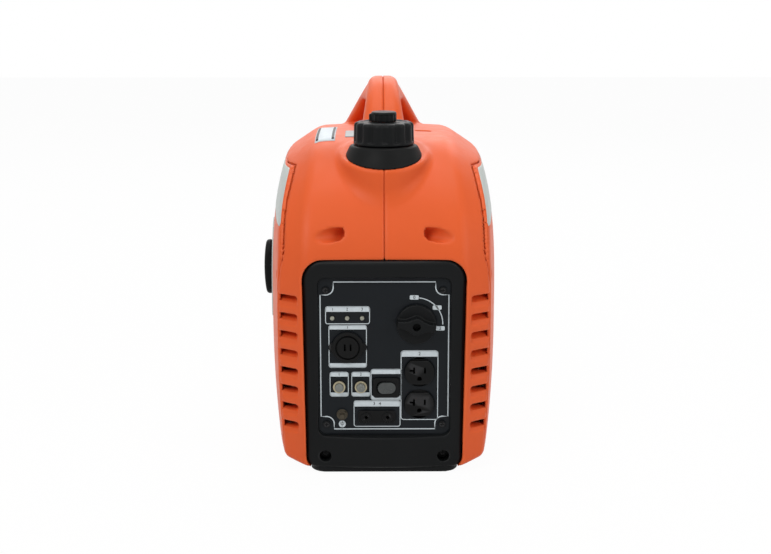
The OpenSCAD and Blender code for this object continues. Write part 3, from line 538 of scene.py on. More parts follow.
MAT = {
    "orange": material("orange_plastic", (0.72, 0.108, 0.026), 0.42, (9, 0.035), (60, 0.05),
                       (2600, 0.00006), worn=((0.86, 0.26, 0.12), 0.35), specular=0.16),
    "black": material("black_plastic", (0.0062, 0.0068, 0.0072), 0.4, (14, 0.12), (70, 0.07),
                      (2200, 0.00009), worn=((0.06, 0.06, 0.062), 0.5), specular=0.1),
    "gloss": material("gloss_black", (0.0042, 0.0044, 0.0045), 0.36, (20, 0.1), (90, 0.05),
                      (1500, 0.00003), worn=((0.05, 0.05, 0.052), 0.5), specular=0.12),
    "panel": material("panel_black", (0.0072, 0.0092, 0.0115), 0.36, (12, 0.08), (120, 0.05),
                      (3000, 0.00004), specular=0.13),
    "rubber": material("rubber", (0.0052, 0.0054, 0.0054), 0.5, (25, 0.15), (60, 0.06),
                       (1800, 0.00012), specular=0.09),
    "silver": material("silver_paint", (0.47, 0.51, 0.485), 0.42, (30, 0.04), (150, 0.05),
                       (2500, 0.00004), 0.1),
    "steel": material("zinc_steel", (0.5, 0.5, 0.51), 0.34, (40, 0.08), (180, 0.09, (1, 12, 1)),
                      (900, 0.00004, (1, 10, 1)), 1.0),
    "hot": material("exhaust_steel", (0.32, 0.27, 0.22), 0.45, (18, 0.22), (60, 0.12),
                    (500, 0.0001), 1.0),
    "alloy": material("cast_alloy", (0.47, 0.48, 0.49), 0.5, (25, 0.08), (120, 0.08),
                      (900, 0.0002), 0.9),
    "brass": material("dull_brass", (0.42, 0.37, 0.25), 0.4, (120, 0.2), (300, 0.1),
                      (1500, 0.00005), 0.6),
    # brass painted much darker than the other brass parts: painted shade on the ground stud and
    # nut, as if they stood unlit
    "stud": material("brass_painted_shade", (0.055, 0.045, 0.03), 0.45, (120, 0.2), (300, 0.1),
                     (1500, 0.00005), 0.6),
    "copper": material("winding_copper", (0.42, 0.16, 0.06), 0.35, (60, 0.15), (200, 0.08),
                       (500, 0.0003, (1, 8, 1)), 0.9),
    "white": material("print_white", (0.56, 0.62, 0.65), 0.5, (200, 0.06), (300, 0.05),
                      (3500, 0.00002)),
    "ivory": material("button_plastic", (0.19, 0.2, 0.18), 0.25, (150, 0.1), (250, 0.05),
                      (2500, 0.00003), clear=0.15),
    "lens": material("lamp_lens", (0.42, 0.42, 0.34), 0.22, (300, 0.12), (250, 0.04),
                     (2500, 0.00002), clear=0.3),
    "grey": material("rocker_grey", (0.04, 0.045, 0.044), 0.25, (200, 0.1), (250, 0.05),
                     (2500, 0.00003)),
    "decal": material("label_grey", (0.3, 0.32, 0.32), 0.45, (80, 0.08), (200, 0.05),
                      (2500, 0.00002)),
}
SLOT_MATERIAL = {
    "orange_shell": "orange", "black_plastic": "black", "panel_plastic": "panel",
    "silver_trim": "silver", "zinc_steel": "steel", "exhaust_steel": "hot",
    "cast_alloy": "alloy", "black_rubber": "rubber", "brass_part": "brass",
    "copper_winding": "copper", "socket_plastic": "gloss", "lamp_lens": "lens",
    "button_plastic": "ivory",
}


def dress_cad_nodes():
    """Gives every CAD node the material of its slot in the record."""
    for part in frame["record"]["subparts"]:
        node = frame["nodes"][part["node"]]
        node.data.materials.clear()
        node.data.materials.append(MAT[SLOT_MATERIAL[part["material_slot"]]])


# ---------- camera and light

CAMERA_LENS = 67.4                        # millimetres, on a 36 mm sensor
CAMERA_PLACE = (-0.0114, -1.6315, 0.593)  # metres from the foot of the control frame
CAMERA_YAW, CAMERA_PITCH = 0.0078, 0.2125


def turn_to(obj, location, look):
    """Places a camera or lamp, looking along look."""
    obj.location = location
    obj.rotation_mode = "QUATERNION"
    obj.rotation_quaternion = look.to_track_quat("-Z", "Y")


def make_camera():
    """The main view: from the front, a little above."""
    cam = into_scene("camera", bpy.data.cameras.new("camera"))
    cam.data.sensor_width = 36
    cam.data.lens = CAMERA_LENS
    level = math.cos(CAMERA_PITCH)
    look = Vector((math.sin(CAMERA_YAW) * level, math.cos(CAMERA_YAW) * level,
                   -math.sin(CAMERA_PITCH)))
    turn_to(cam, ORIGIN + Vector(CAMERA_PLACE), look)
    bpy.context.scene.camera = cam


def add_light(name, place_at, aim, size, watts):
    """A soft rectangular lamp that faces aim."""
    light = bpy.data.lights.new(name, "AREA")
    light.shape, light.size, light.size_y = "RECTANGLE", size[0], size[1]
    light.energy = watts
    turn_to(into_scene(name, light), Vector(place_at), Vector(aim) - Vector(place_at))


def background_rays(tree):
    """1 for rays that see the background: straight, mirrored or through glass."""
    path = tree.nodes.new("ShaderNodeLightPath")
    total = path.outputs["Is Camera Ray"]
    for name in ("Is Glossy Ray", "Is Transmission Ray"):
        either = tree.nodes.new("ShaderNodeMath")
        either.operation = "MAXIMUM"
        tree.links.new(total, either.inputs[0])
        tree.links.new(path.outputs[name], either.inputs[1])
        total = either.outputs[0]
    return total


def make_stage():
    """Four lamps, a white world and the floor."""
    scene = bpy.context.scene
    scene.view_settings.view_transform = "Standard"
    add_light("key", (-1.5, -2.2, 2.4), (0, 0, 0.2), (1.4, 1.4), 44)
    add_light("fill", (2.1, -1.6, 1.5), (0, 0, 0.2), (1.4, 1.4), 20)
    add_light("back", (0.2, 2.4, 1.9), (0, 0, 0.2), (2.4, 1.2), 26)
    add_light("top", (0, 0.1, 2.6), (0, 0, 0), (1.8, 1.8), 30)
    world = bpy.data.worlds.new("studio")
    scene.world = world
    world.use_nodes = True
    tree = world.node_tree
    strength = tree.nodes.new("ShaderNodeMapRange")
    strength.inputs["To Min"].default_value = 0.25
    strength.inputs["To Max"].default_value = 1.0
    tree.links.new(background_rays(tree), strength.inputs["Value"])
    tree.links.new(strength.outputs["Result"], tree.nodes["Background"].inputs["Strength"])
    tree.nodes["Background"].inputs["Color"].default_value = (1, 1, 1, 1)
    make_floor()


def make_floor():
    """A pale floor that looks white to the camera, and keeps a faint shadow."""
    mesh = bpy.data.meshes.new("floor")
    half = 6
    mesh.from_pydata([(-half, -half, 0), (half, -half, 0), (half, half, 0), (-half, half, 0)],
                     [], [(0, 1, 2, 3)])
    floor = into_scene("floor", mesh)
    mat = bpy.data.materials.new("floor")
    mat.use_nodes = True
    tree = mat.node_tree
    bsdf = tree.nodes["Principled BSDF"]
    bsdf.inputs["Base Color"].default_value = (0.82, 0.82, 0.82, 1)
    bsdf.inputs["Roughness"].default_value = 0.9
    glow = tree.nodes.new("ShaderNodeEmission")
    share = tree.nodes.new("ShaderNodeMapRange")
    share.inputs["To Max"].default_value = 0.965
    mix = tree.nodes.new("ShaderNodeMixShader")
    tree.links.new(background_rays(tree), share.inputs["Value"])
    tree.links.new(share.outputs["Result"], mix.inputs[0])
    tree.links.new(bsdf.outputs[0], mix.inputs[1])
    tree.links.new(glow.outputs[0], mix.inputs[2])
    tree.links.new(mix.outputs[0], tree.nodes["Material Output"].inputs["Surface"])
    mesh.materials.append(mat)


# ---------- case halves

def louvre_frame(x, d, z, k):
    """Coordinates of louvre k: along its slot, up across it, and back from the chamfer."""
    edge = half_width(d, z) + COVER_T
    depth = d - CHAMFER_FACE - (x - edge) * CHAMFER_FACE / CHAMFER_SIDE
    return x - LOUVRE_X - LOUVRE_LEAN * d, z - LOUVRE_Z - k * LOUVRE_PITCH, depth


def louvre_field(k):
    """One louvre slot. Its floor slopes, deepest under the upper lip."""
    deep = 70.0 if k < OPEN_LOUVRES else 15.0

    def field(x, d, z):
        along, up, depth = louvre_frame(x, d, z, k)
        slot = rect2(along, up, LOUVRE_W, LOUVRE_H, 2.5)
        floor = 2.0 + 0.3 * (up + LOUVRE_H / 2) + deep * smooth_step((up + 2.2) / 4.5)
        return np.maximum(slot, (depth - floor) * 0.5)
    return field


def pocket_field(x, d, z):
    """Screwdriver pocket in the nose: a slanted cylinder, deep at its inner end."""
    centre = 14.3 - (x - POCKET_X) * 0.57
    tube = np.hypot((d - centre) * 0.9, z - POCKET_Z) - 8.6
    return round_max(tube, 46 - x, 3)


def deck_slot(x, d, z):
    """Shallow pocket on the deck, beside the filler."""
    return np.maximum(rect2(x - 51, d - 205, 21, 15, 5), 381 - z)


def backing_field(x, d, z):
    """Solid blocks kept behind the louvres and the pockets, so that they have a floor."""
    louvre_block = np.maximum(np.maximum(np.abs(z - 133) - 96, d - 36), 88 - np.abs(x))
    pocket_block = np.maximum(np.abs(z - POCKET_Z) - 16, np.abs(np.abs(x) - POCKET_X) - 28)
    return np.minimum(louvre_block, np.maximum(pocket_block, d - 62))


def rear_opening(x, d, z):
    """Opening of the case for the rear cover."""
    lo, hi = node_box("rear_cover")
    wide, tall = hi[0] - lo[0] + 1.2, hi[2] - lo[2] + 1.2
    return np.maximum(rect2(x, z - (lo[2] + hi[2]) / 2, wide, tall, 22.6), LENGTH - 22 - d)


def common_case_field(grid):
    """Right half of the case without the openings that only one side has.

    The handle goes in twice. The fillet of the second time also swells it by 2.6 mm.
    """
    x, d, z = grid.x, grid.d, grid.z
    outer = body_field(x, d, z, COVER_T)
    inner_body = body_field(x, d, z)
    field = round_min(outer, boss_field(x, d, z), 8)
    grid.carve(field, (-9, 120, 370), (80, 420, 460), handle_field, add=True)
    field = round_min(field, handle_field(x, d, z), 9)
    seat = np.maximum(cover_outline(d, z) - 0.8, -inner_body - COVER_DEPTH)
    field = round_max(field, -seat, 1.2)
    hollow = np.maximum(inner_body + WALL + COVER_DEPTH, -backing_field(x, d, z))
    field = np.maximum(field, -hollow)
    for k in range(LOUVRES):
        mid = LOUVRE_Z + k * LOUVRE_PITCH
        grid.carve(field, (88, -4, mid - 12), (140, 60, mid + 12), louvre_field(k))
    grid.carve(field, (40, -4, 270), (100, 60, 305), pocket_field)
    grid.carve(field, (-9, 40, 300), (40, 140, 400),
               lambda x, d, z: np.hypot(x, d - FILLER_D) - 27 + 0 * z)
    front = np.maximum(bezel_outline(x, z, 0.6), d - BEZEL_DEPTH - 0.4)
    field = round_max(field, -front, 1.4)
    field = round_max(field, -rear_opening(x, d, z), 1.4)
    return round_max(field, 0.04 - x, 1.0)


def hatch_field(x, d, z):
    """The opening behind the right side cover."""
    return np.maximum(inset_cover(d, z, HATCH_RIM), INNER_X - x)


def make_case():
    """Both halves from one field: the left one is its mirror image."""
    grid = Grid((-4, -8, 2), (154, LENGTH + 6, 456), STEP)
    field = common_case_field(grid)
    hatch = hatch_field(grid.x, grid.d, grid.z)
    starter = np.maximum(starter_oval(grid.d, grid.z, *STARTER_HOLE), INNER_X - grid.x)
    for name, opening, side, node in (("case_right", hatch, 1, "right_case"),
                                      ("case_left", starter, -1, "left_case")):
        shell = np.maximum(field, -opening)
        if side > 0:
            grid.carve(shell, (30, 130, 360), (100, 230, 400), deck_slot)
        points, quads = grid.net(shell)
        x, d, z = points.T
        hidden = (body_field(x, d, z) < -WALL + 0.6) & (z < DECK - 4) & (d > 12)
        hidden |= (cover_outline(d, z) < -3) & (x > 90)
        if side < 0:
            points = points * np.array([-1, 1, 1])
            quads = quads[:, ::-1]
        obj = net_mesh(name, points, quads, MAT["orange"])
        thin_inside(obj, hidden, 190000)
        place(obj, "case", [node])


def cover_field(x, d, z):
    """A side cover over its seat in the case."""
    body = body_field(x, d, z)
    plate = round_max(body - COVER_T, cover_outline(d, z) + 0.5, 1.4)
    return np.maximum(np.maximum(plate, -body - COVER_DEPTH + 0.3), 92 - x)


def make_covers():
    """The right cover, and the left one with the starter's opening."""
    grid = Grid((86, COVER_FRONT - 5, COVER_Z0 - 5), (152, COVER_REAR + 5, COVER_Z1 + 5), STEP)
    field = cover_field(grid.x, grid.d, grid.z)
    screw = np.hypot(grid.d - COVER_FRONT - 16, grid.z - 236) - 4 + 0 * grid.x
    field = np.maximum(field, -screw)
    points, quads = grid.net(field)
    right = net_mesh("cover_right", points, quads, MAT["orange"])
    place(right, "maintenance_cover", ["right_side_cover"])
    starter = starter_oval(grid.d, grid.z, *STARTER_HOLE) + 0 * grid.x
    dish = np.maximum(starter_oval(grid.d, grid.z, 92, 132), -body_field(grid.x, grid.d, grid.z))
    field = np.maximum(np.maximum(field, -starter), -dish)
    points, quads = grid.net(field)
    points = points * np.array([-1, 1, 1])
    left = net_mesh("cover_left", points, quads[:, ::-1], MAT["orange"])
    place(left, "case", ["left_side_cover"])


def side_at(d, z):
    """How far out the cover's skin is, at places given by arrays d and z."""
    low, high = np.full(len(d), 60.0), np.full(len(d), 160.0)
    for _ in range(24):
        mid = (low + high) / 2
        inside = body_field(mid, d, z) < COVER_T
        low, high = np.where(inside, mid, low), np.where(inside, high, mid)
    return low


def surface_patch(name, side, rows, lift, body, material, thick=0.5):
    """A thin skin on a side cover. rows holds, for each d, the heights that it spans."""
    count = 24
    share = np.linspace(0, 1, count)
    d = np.repeat([row[0] for row in rows], count)
    z = np.concatenate([row[1] + (row[2] - row[1]) * share for row in rows])
    x = side_at(d, z)
    points = [(side * (a + lifted), b, c) for lifted in (lift, lift - thick)
              for a, b, c in zip(x, d, z)]
    faces = skin_faces(len(rows), count)
    if side > 0:
        faces = [tuple(reversed(f)) for f in faces]
    place(new_mesh(name, points, faces, material), body)


def make_decals():
    """Silver swooshes high on both covers: deep at the front, a point at the rear."""
    rows, count = [], 90
    for k in range(count):
        d = 44 + 366 * (k / (count - 1)) ** 1.5
        top = top_edge(d)
        low = 293 + 0.0004 * (d - 40) ** 2
        rows.append((d, min(low, top - 0.5), top))
    surface_patch("decal_right", 1, rows, 0.35, "maintenance_cover", MAT["silver"])
    surface_patch("decal_left", -1, rows, 0.35, "case", MAT["silver"])


def top_edge(d):
    """Height of the covers' upper edge at d, less a small margin."""
    heights = np.linspace(250, COVER_Z1, 400)
    inside = heights[cover_outline(d, heights) < -2.5]
    return float(inside.max()) if len(inside) else 250.0


# ---------- front

def bezel_field(x, d, z):
    """The control frame: a bulged front, a window for the plate and two screw wells."""
    bulge = BULGE_R - np.sqrt(BULGE_R ** 2 - x ** 2)
    plate = bezel_outline(x, z)
    block = round_max(plate, bulge - d, 5)
    block = np.maximum(block, d - BEZEL_DEPTH)
    hollow = np.maximum(plate + 3.2, PLATE_D + 0.05 - d)
    tube = np.hypot(np.abs(x) - SCREW_X, z - SCREW_Z) - 9
    tube = np.maximum(np.maximum(tube, d - 22), 4 - d)
    field = np.minimum(np.maximum(block, -hollow), tube)
    flare = np.clip(PLATE_D - d, 0, 20) * 0.3
    window = rect2(x, z - WINDOW_Z, WINDOW_W, WINDOW_H, 8) - flare
    field = round_max(field, -np.maximum(window, d - 30), 1.0)
    hole = np.hypot(np.abs(x) - SCREW_X, z - SCREW_Z) - 7
    return np.maximum(field, -np.maximum(hole, d - 20))


def make_bezel():
    solid("bezel", (-BEZEL_W / 2, 0, 6), (BEZEL_W / 2, BEZEL_DEPTH, 260), 1.25, bezel_field,
          MAT["black"], "case", ["control_bezel"])


def rounded(cx, cz, w, h, r, steps=6):
    """Points round a rounded rectangle, anticlockwise seen from the front."""
    points = []
    for sx, sz, start in ((1, 1, 0), (-1, 1, 90), (-1, -1, 180), (1, -1, 270)):
        for k in range(steps + 1):
            a = math.radians(start + 90 * k / steps)
            points.append((cx + sx * (w / 2 - r) + r * math.cos(a),
                           cz + sz * (h / 2 - r) + r * math.sin(a)))
    return points


def notched(x0, x1, z0, z1, size, r, steps=7):
    """A frame with a notch in each corner. The notch's inner corner has radius r."""
    points = []
    for cx, cz, sx, sz, start in ((x1, z1, -1, -1, 270), (x0, z1, 1, -1, 360),
                                  (x0, z0, 1, 1, 90), (x1, z0, -1, 1, 180)):
        ends = [(cx, cz + sz * size), (cx + sx * size, cz)]
        if start in (360, 180):
            ends.reverse()
        bend = []
        for k in range(steps + 1):
            a = math.radians(start - 90 * k / steps)
            bend.append((cx + sx * (size - r) + r * math.cos(a),
                         cz + sz * (size - r) + r * math.sin(a)))
        points += [ends[0]] + bend + [ends[1]]
    return points


class Print:
    """Thin printed shapes that lie on the control plate."""

    def __init__(self, level, thick=0.25):
        self.level, self.thick = level, thick
        self.points, self.faces = [], []

    def add(self, front, faces):
        """A flat set of (x, z) points and faces, given thickness."""
        base, n = len(self.points), len(front)
        self.points += [(x, self.level - self.thick, z) for x, z in front]
        self.points += [(x, self.level, z) for x, z in front]
        count = {}
        for face in faces:
            self.faces.append(tuple(base + v for v in face))
            for a, b in zip(face, face[1:] + face[:1]):
                count[(a, b)] = count.get((a, b), 0) + 1
        for a, b in list(count):
            if (b, a) not in count:
                self.faces.append((base + b, base + a, base + a + n, base + b + n))

    def line(self, path, width, closed=True):
        """A line of even width along a path."""
        n = len(path)
        left, right = [], []
        for i, (x, z) in enumerate(path):
            before = path[i - 1] if closed or i else path[i]
            after = path[(i + 1) % n] if closed or i < n - 1 else path[i]
            t = Vector((after[0] - before[0], after[1] - before[1])).normalized()
            left.append((x - t.y * width / 2, z + t.x * width / 2))
            right.append((x + t.y * width / 2, z - t.x * width / 2))
        faces = []
        for i in range(n if closed else n - 1):
            j = (i + 1) % n
            faces.append((i, n + i, n + j, j))
        self.add(left + right, faces)

    def fill(self, path):
        """A filled outline."""
        self.add(path, [tuple(range(len(path)))])

    def box_with_bars(self, cx, cz, w, h, head, foot=0.0, r=2.6, width=0.9):
        """An outlined box with a filled bar along its top, and one along its foot."""
        outline = rounded(cx, cz, w, h, r)
        self.line(outline, width)
        if head:
            cut = cz + h / 2 - head
            self.fill([p for p in outline if p[1] >= cut] + [(cx - w / 2, cut), (cx + w / 2, cut)])
        if foot:
            cut = cz - h / 2 + foot
            low = [p for p in outline if p[1] <= cut]
            self.fill([(cx + w / 2, cut), (cx - w / 2, cut)] + low)

    def finish(self, name, material):
        """Makes the piece from all that was added."""
        obj = new_mesh(name, self.points, self.faces, material, smooth=False)
        return place(obj, "case")


def arc(cx, cz, r, a0, a1, steps=14):
    """Points along an arc, with its angles in degrees."""
    return [(cx + r * math.cos(math.radians(a0 + (a1 - a0) * k / steps)),
             cz + r * math.sin(math.radians(a0 + (a1 - a0) * k / steps)))
            for k in range(steps + 1)]


# text, x, z and size of the plain numerals
NUMERALS = (
    ("0", 35, 214.4, 5.4), ("1", 61.8, 202.2, 5.4), ("2", 65.6, 177.2, 5.4),
    ("1", -43, 178.4, 4.8), ("1", -53.3, 121.3, 4.8), ("2", -27.7, 121.3, 4.8),
    ("2", 41.5, 146.3, 5.6), ("3   4", -8.6, 85.3, 5.2), ("1", -60.5, 200.3, 4.8),
    ("2", -43.5, 200.3, 4.8), ("3", -26, 200.3, 4.8))


GROUND_X, GROUND_Z = -50, 60.2


def make_print():
    """White boxes and lines on the control plate, a ground sign and plain numerals."""
    white = Print(PLATE_D)
    white.line(notched(-75, 75.5, 54, 233, 15.5, 9), 1.3)
    white.box_with_bars(-43, 193.2, 51.5, 20.6, 6.2)
    white.box_with_bars(-43, 155.5, 44, 51, 5.0, 5.0)
    for x in (-53.3, -27.7):
        white.box_with_bars(x, 109.3, 21.5, 29.6, 5.4, 4.6, width=0.8)
    white.box_with_bars(2.2, 108.7, 35.6, 37.4, 5.6, 5.2)
    white.box_with_bars(41.5, 107.8, 43.4, 84.5, 7.2, r=3.4)
    white.box_with_bars(-8.6, 73, 54.6, 31.6, 7.0)
    white.line(arc(KNOB_X, KNOB_Z, 31, -2, 84), 1.1, closed=False)
    for _, x, z, _ in NUMERALS[:3]:
        white.fill(rounded(x, z, 10.5, 5.2, 1.4))
    white.fill(rounded(GROUND_X, GROUND_Z, 8.4, 8.4, 4.19))
    white.finish("panel_print", MAT["white"])
    dark = Print(PLATE_D - 0.25, 0.15)
    for z, w in ((61.4, 5.2), (59.6, 3.4), (57.8, 1.6)):
        dark.line([(GROUND_X - w / 2, z), (GROUND_X + w / 2, z)], 0.7, closed=False)
    dark.line([(GROUND_X, 61.4), (GROUND_X, 63.6)], 0.7, closed=False)
    dark.finish("panel_print_dark", MAT["panel"])
    for k, (text, x, z, size) in enumerate(NUMERALS):
        numeral("numeral_%d" % k, text, x, z, size)


def numeral(name, text, x, z, size):
    """A plain numeral, dark on a printed bar."""
    curve = bpy.data.curves.new(name, "FONT")
    curve.body = text
    curve.size = size / 1000
    curve.extrude = 0.0001
    curve.align_x = curve.align_y = "CENTER"
    curve.materials.append(MAT["panel"])
    obj = into_scene(name, curve)
    obj.location = Vector(to_metres([(x, PLATE_D - 0.32, z)])[0])
    obj.rotation_euler = (math.radians(90), 0, 0)
    place(obj, "case")


def knob_field(x, d, z):
    """Switch knob: a disc, a wing across it that swells round the hub."""
    turn = math.radians(-6)
    u, v = x - KNOB_X, z - KNOB_Z
    along = u * math.cos(turn) + v * math.sin(turn)
    up = -u * math.sin(turn) + v * math.cos(turn)
    rho = np.hypot(u, v)
    disc = round_max(rho - 23.4, PLATE_D - 6.5 - d, 1.6)
    wing_half = 4.2 + 6.0 * np.exp(-(along / 9.0) ** 2)
    wing = round_max(np.abs(up) - wing_half, rho - 22.6, 1.2)
    wing = round_max(wing, PLATE_D - 20 - d + 0.004 * along ** 2, 1.4)
    knob = round_min(disc, wing, 1.5)
    knob = np.maximum(knob, d - PLATE_D + 0.3)
    return round_max(knob, -np.maximum(rho - 4.6, d - PLATE_D + 8), 0.6)


def make_knob():
    solid("switch_knob", (KNOB_X - 24, PLATE_D - 21, KNOB_Z - 24),
          (KNOB_X + 24, PLATE_D, KNOB_Z + 24), 0.6, knob_field, MAT["black"], "knob",
          ["engine_switch_knob"])


# ---------- filler

def collar_field(x, d, z):
    """Rubber collar round the filler: a cone that stands on the boss."""
    rho = np.hypot(x, d - FILLER_D)
    cone = (rho - 39.8 - (384 - z) * 0.5) * 0.9
    ring = round_max(cone, z - 383.6, 2.2)
    ring = np.maximum(ring, 0.15 - boss_top(d, z))
    return np.maximum(ring, 26 - rho)


def cap_field(x, d, z):
    """Filler cap with scalloped grip, a plain skirt and a soft top edge."""
    rho, angle = np.hypot(x, d - FILLER_D), np.arctan2(d - FILLER_D, x)
    flute = 2.6 * (0.5 - 0.5 * np.cos(14 * angle)) ** 2
    radius = 36.2 - flute * smooth_step((z - CAP_Z0 - 3) / 2) - 0.03 * (z - CAP_Z0)
    cap = round_max(rho - radius, z - CAP_Z1 + 0.3, 4.5)
    cap = np.maximum(cap, CAP_Z0 + 0.4 - z)
    step = np.maximum(rho - 27, CAP_Z1 - 1.4 - z)
    cap = round_max(cap, -np.maximum(step, 19 - rho), 0.5)
    hollow = np.maximum(rho - 25.5, z - CAP_Z1 + 8)
    return np.maximum(cap, -hollow)


def vent_field(x, d, z):
    """Vent knob on the cap, with a pointer tab."""
    rho = np.hypot(x, d - FILLER_D)
    angle = np.arctan2(d - FILLER_D, x)
    grip = 15.2 - 0.7 * (0.5 - 0.5 * np.cos(16 * angle)) * (z < CAP_Z1 + 9)
    post = round_max(rho - grip, z - CAP_Z1 - 11.8, 2.4)
    tab = rect2(x + 12, d - FILLER_D, 11.5, 7.6, 2.2)
    tab = round_max(tab, z - CAP_Z1 - 9.2, 1.4)
    knob = round_min(post, tab, 1.0)
    return np.maximum(knob, CAP_Z1 + 0.3 - z)


def make_filler():
    low, high = FILLER_D - 54, FILLER_D + 54
    solid("collar", (-54, low, 352), (54, high, 386), 1.1, collar_field, MAT["rubber"],
          "case", ["filler_collar"])
    solid("cap", (-37, FILLER_D - 37, CAP_Z0), (37, FILLER_D + 37, CAP_Z1), 0.9, cap_field,
          MAT["black"], "cap", ["fuel_cap"])
    solid("vent_knob", (-19, FILLER_D - 16, CAP_Z1), (16, FILLER_D + 16, CAP_Z1 + 12), 0.6,
          vent_field, MAT["black"], "vent", ["vent_lever"])


# ---------- starter

def side_surface(d, z):
    """Where the left cover's skin is."""
    return -(half_width(d, z) + COVER_T)


def trim_field(x, d, z):
    """Silver dish round the starter grip: a raised rim and a hollow for the fingers."""
    level = side_surface(d, z)
    outer = starter_oval(d, z, 88, 128)
    rim = round_max(outer, level - 1.2 - x, 1.1)
    rim = np.maximum(rim, x - level - 2.2)
    well = starter_oval(d, z, 50, 84)
    wall = np.maximum(np.maximum(well, x - level - 34), level - 1 - x)
    cup = np.maximum(wall, -np.maximum(well + 2.4, x - level - 31))
    plate = round_max(rim, -starter_oval(d, z, 46, 80), 1.4)
    hole = np.hypot(d - STARTER_D, z - STARTER_Z) - 4.5 + 0 * x
    return np.maximum(np.minimum(plate, cup), -hole)


def grip_field(x, d, z):
    """Pull grip: a flattened oval, waisted where the fingers go."""
    v, u = (z - STARTER_Z) / 35, (d - STARTER_D) / 17
    mid = GRIP_X0 + 15.8
    swell = 7.2 * np.sqrt(np.clip(1 - 0.7 * v ** 2 - 0.3 * u ** 2, 0, 1))
    shell = rect2(d - STARTER_D, z - STARTER_Z, 34, 70, 16.8)
    body = round_max(shell, np.abs(x - mid) - swell, 3.4)
    neck = np.maximum(np.hypot(d - STARTER_D, z - STARTER_Z) - 6, np.abs(x - mid - 9) - 9)
    return round_min(body, neck, 2.0)


def make_starter():
    solid("starter_trim", (-152, STARTER_D - 46, STARTER_Z - 66),
          (-104, STARTER_D + 46, STARTER_Z + 66), 1.2, trim_field, MAT["silver"], "case",
          ["starter_bezel"])
    solid("grip", (GRIP_X0 - 1, STARTER_D - 18, STARTER_Z - 36),
          (GRIP_X0 + 28, STARTER_D + 18, STARTER_Z + 36), 0.7, grip_field, MAT["rubber"],
          "grip", ["starter_grip"])
    make_rope()


def make_rope():
    """Starter rope: a straight tube from the housing to the grip."""
    rings, sides, radius = 30, 12, 2.0
    x0, x1 = node_box("starter_rope")[1][0], GRIP_X0 + 20
    points, faces = [], []
    for i in range(rings):
        x = x0 + (x1 - x0) * i / (rings - 1)
        for k in range(sides):
            a = 2 * math.pi * k / sides
            points.append((x, STARTER_D + radius * math.cos(a), STARTER_Z + radius * math.sin(a)))
    for i in range(rings - 1):
        for k in range(sides):
            j = (k + 1) % sides
            faces.append((i * sides + k, (i + 1) * sides + k, (i + 1) * sides + j, i * sides + j))
    faces.append(tuple(range(sides - 1, -1, -1)))
    faces.append(tuple((rings - 1) * sides + k for k in range(sides)))
    rope = new_mesh("starter_cord", points, faces, MAT["rubber"])
    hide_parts("starter_rope")
    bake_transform(rope)


# ---------- small CAD parts

# width of the bevel on each CAD node that is shown with broken edges
BEVELLED = {
    "ac_receptacle": 0.5, "dc_socket": 0.5, "dc_breaker_body": 0.4, "dc_breaker_button": 0.7,
    "ac_breaker_body": 0.4, "ac_breaker_button": 0.7, "economy_switch": 0.5,
    "economy_rocker": 0.8, "parallel_sockets": 0.4, "ground_stud": 0.3, "ground_nut": 0.4,
    "indicator_lamps": 0.5, "panel_screws": 0.3, "bezel_screws": 0.3, "control_plate": 0.4,
    "rear_cover": 0.8, "spark_arrester": 0.8, "air_cleaner": 2.0, "oil_filler_cap": 0.8,
    "rocker_cover": 1.5, "muffler": 1.5, "rubber_feet": 1.0, "cylinder_head": 0.6,
    "engine_block": 0.8, "inverter_unit": 0.6, "side_cover_screws": 0.3,
    "rear_cover_screws": 0.3,
}
MATERIAL_BY_NODE = {
    # the ground stud and nut take the brass with painted shade
    "economy_rocker": "grey", "ground_stud": "stud", "ground_nut": "stud",
    "panel_screws": "gloss", "bezel_screws": "gloss",
}


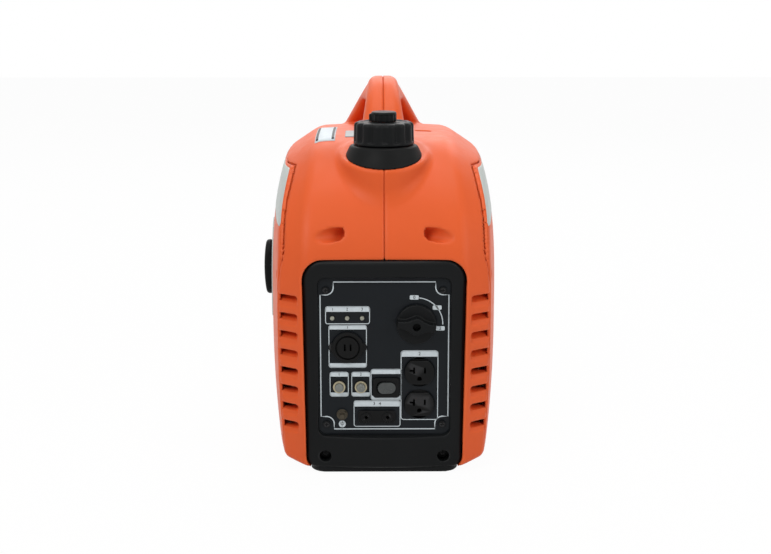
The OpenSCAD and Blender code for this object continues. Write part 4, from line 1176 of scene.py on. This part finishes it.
def bevel_copy(node_name, width):
    """A copy of a CAD node with its sharp edges broken."""
    node = frame["nodes"][node_name]
    mesh = node.data.copy()
    bm = bmesh.new()
    bm.from_mesh(mesh)
    bmesh.ops.remove_doubles(bm, verts=bm.verts, dist=1e-6)
    bmesh.ops.dissolve_limit(bm, angle_limit=math.radians(0.6), verts=bm.verts, edges=bm.edges)
    if node_name == "side_cover_screws":    # they follow the narrower visible covers
        for vert in bm.verts:
            vert.co.x -= math.copysign(CAD_SIDE - HALF_W, vert.co.x - ORIGIN.x) / 1000
    bm.to_mesh(mesh)
    bm.free()
    obj = into_scene(node_name + "_shown", mesh)
    bevel = obj.modifiers.new("bevel", "BEVEL")
    bevel.width = width / 1000
    bevel.segments = 2
    bevel.limit_method = "ANGLE"
    bevel.angle_limit = math.radians(35)
    bevel.harden_normals = False
    apply_modifiers(obj)
    shade(obj.data)
    obj.data.set_sharp_from_angle(angle=math.radians(32))
    slot = next(s["material_slot"] for s in frame["record"]["subparts"] if s["node"] == node_name)
    obj.data.materials.clear()
    obj.data.materials.append(MAT[MATERIAL_BY_NODE.get(node_name, SLOT_MATERIAL[slot])])
    place(obj, node["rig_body"], [node_name])


def tray_field(x, d, z):
    """Flat base under the case."""
    slab = rect2(x, d - MID, 176, LENGTH - 10, 20)
    return round_max(slab, np.abs(z - 5.8) - 4.2, 1.0)


def make_base():
    solid("base", (-90, 2, 0), (90, LENGTH - 2, 12), 1.6, tray_field, MAT["black"], "case",
          ["base_tray"])


# x, d, width, length and material of each
LABELS = {
    "label_plate": (-72, 196, 25, 126, "white"),
    "label_bar_front": (-82, 196, 3, 116, "panel"),
    "label_bar_rear": (-62.5, 196, 3, 116, "panel"),
    "small_plate": (-41.5, 172, 12, 52, "decal"),
}


def make_labels():
    """Two blank plates on the deck, left of the cap. The larger one has two dark bars."""
    n = 16
    for name, (x, d, width, length, key) in LABELS.items():
        points = []
        for lift in (1.0 if "bar" in name else 0.7, -0.8):
            for i in range(n):
                for k in range(n):
                    px = x - width / 2 + width * i / (n - 1)
                    pd = d - length / 2 + length * k / (n - 1)
                    points.append((px, pd, deck_height(px, pd) + lift))
        place(new_mesh(name, points, skin_faces(n, n), MAT[key]), "case")


def deck_height(x, d):
    """Height of the case's skin over a place in plan."""
    low, high = 250.0, DECK + 4
    for _ in range(30):
        mid = (low + high) / 2
        value = body_field(np.float64(x), np.float64(d), np.float64(mid), COVER_T)
        if value < 0:
            low = mid
        else:
            high = mid
    return low


# ---------- build

make_camera()
make_stage()
dress_cad_nodes()
make_case()
make_covers()
make_decals()
make_bezel()
make_print()
make_knob()
make_filler()
make_starter()
make_base()
make_labels()
for node_name, width in BEVELLED.items():
    bevel_copy(node_name, width)
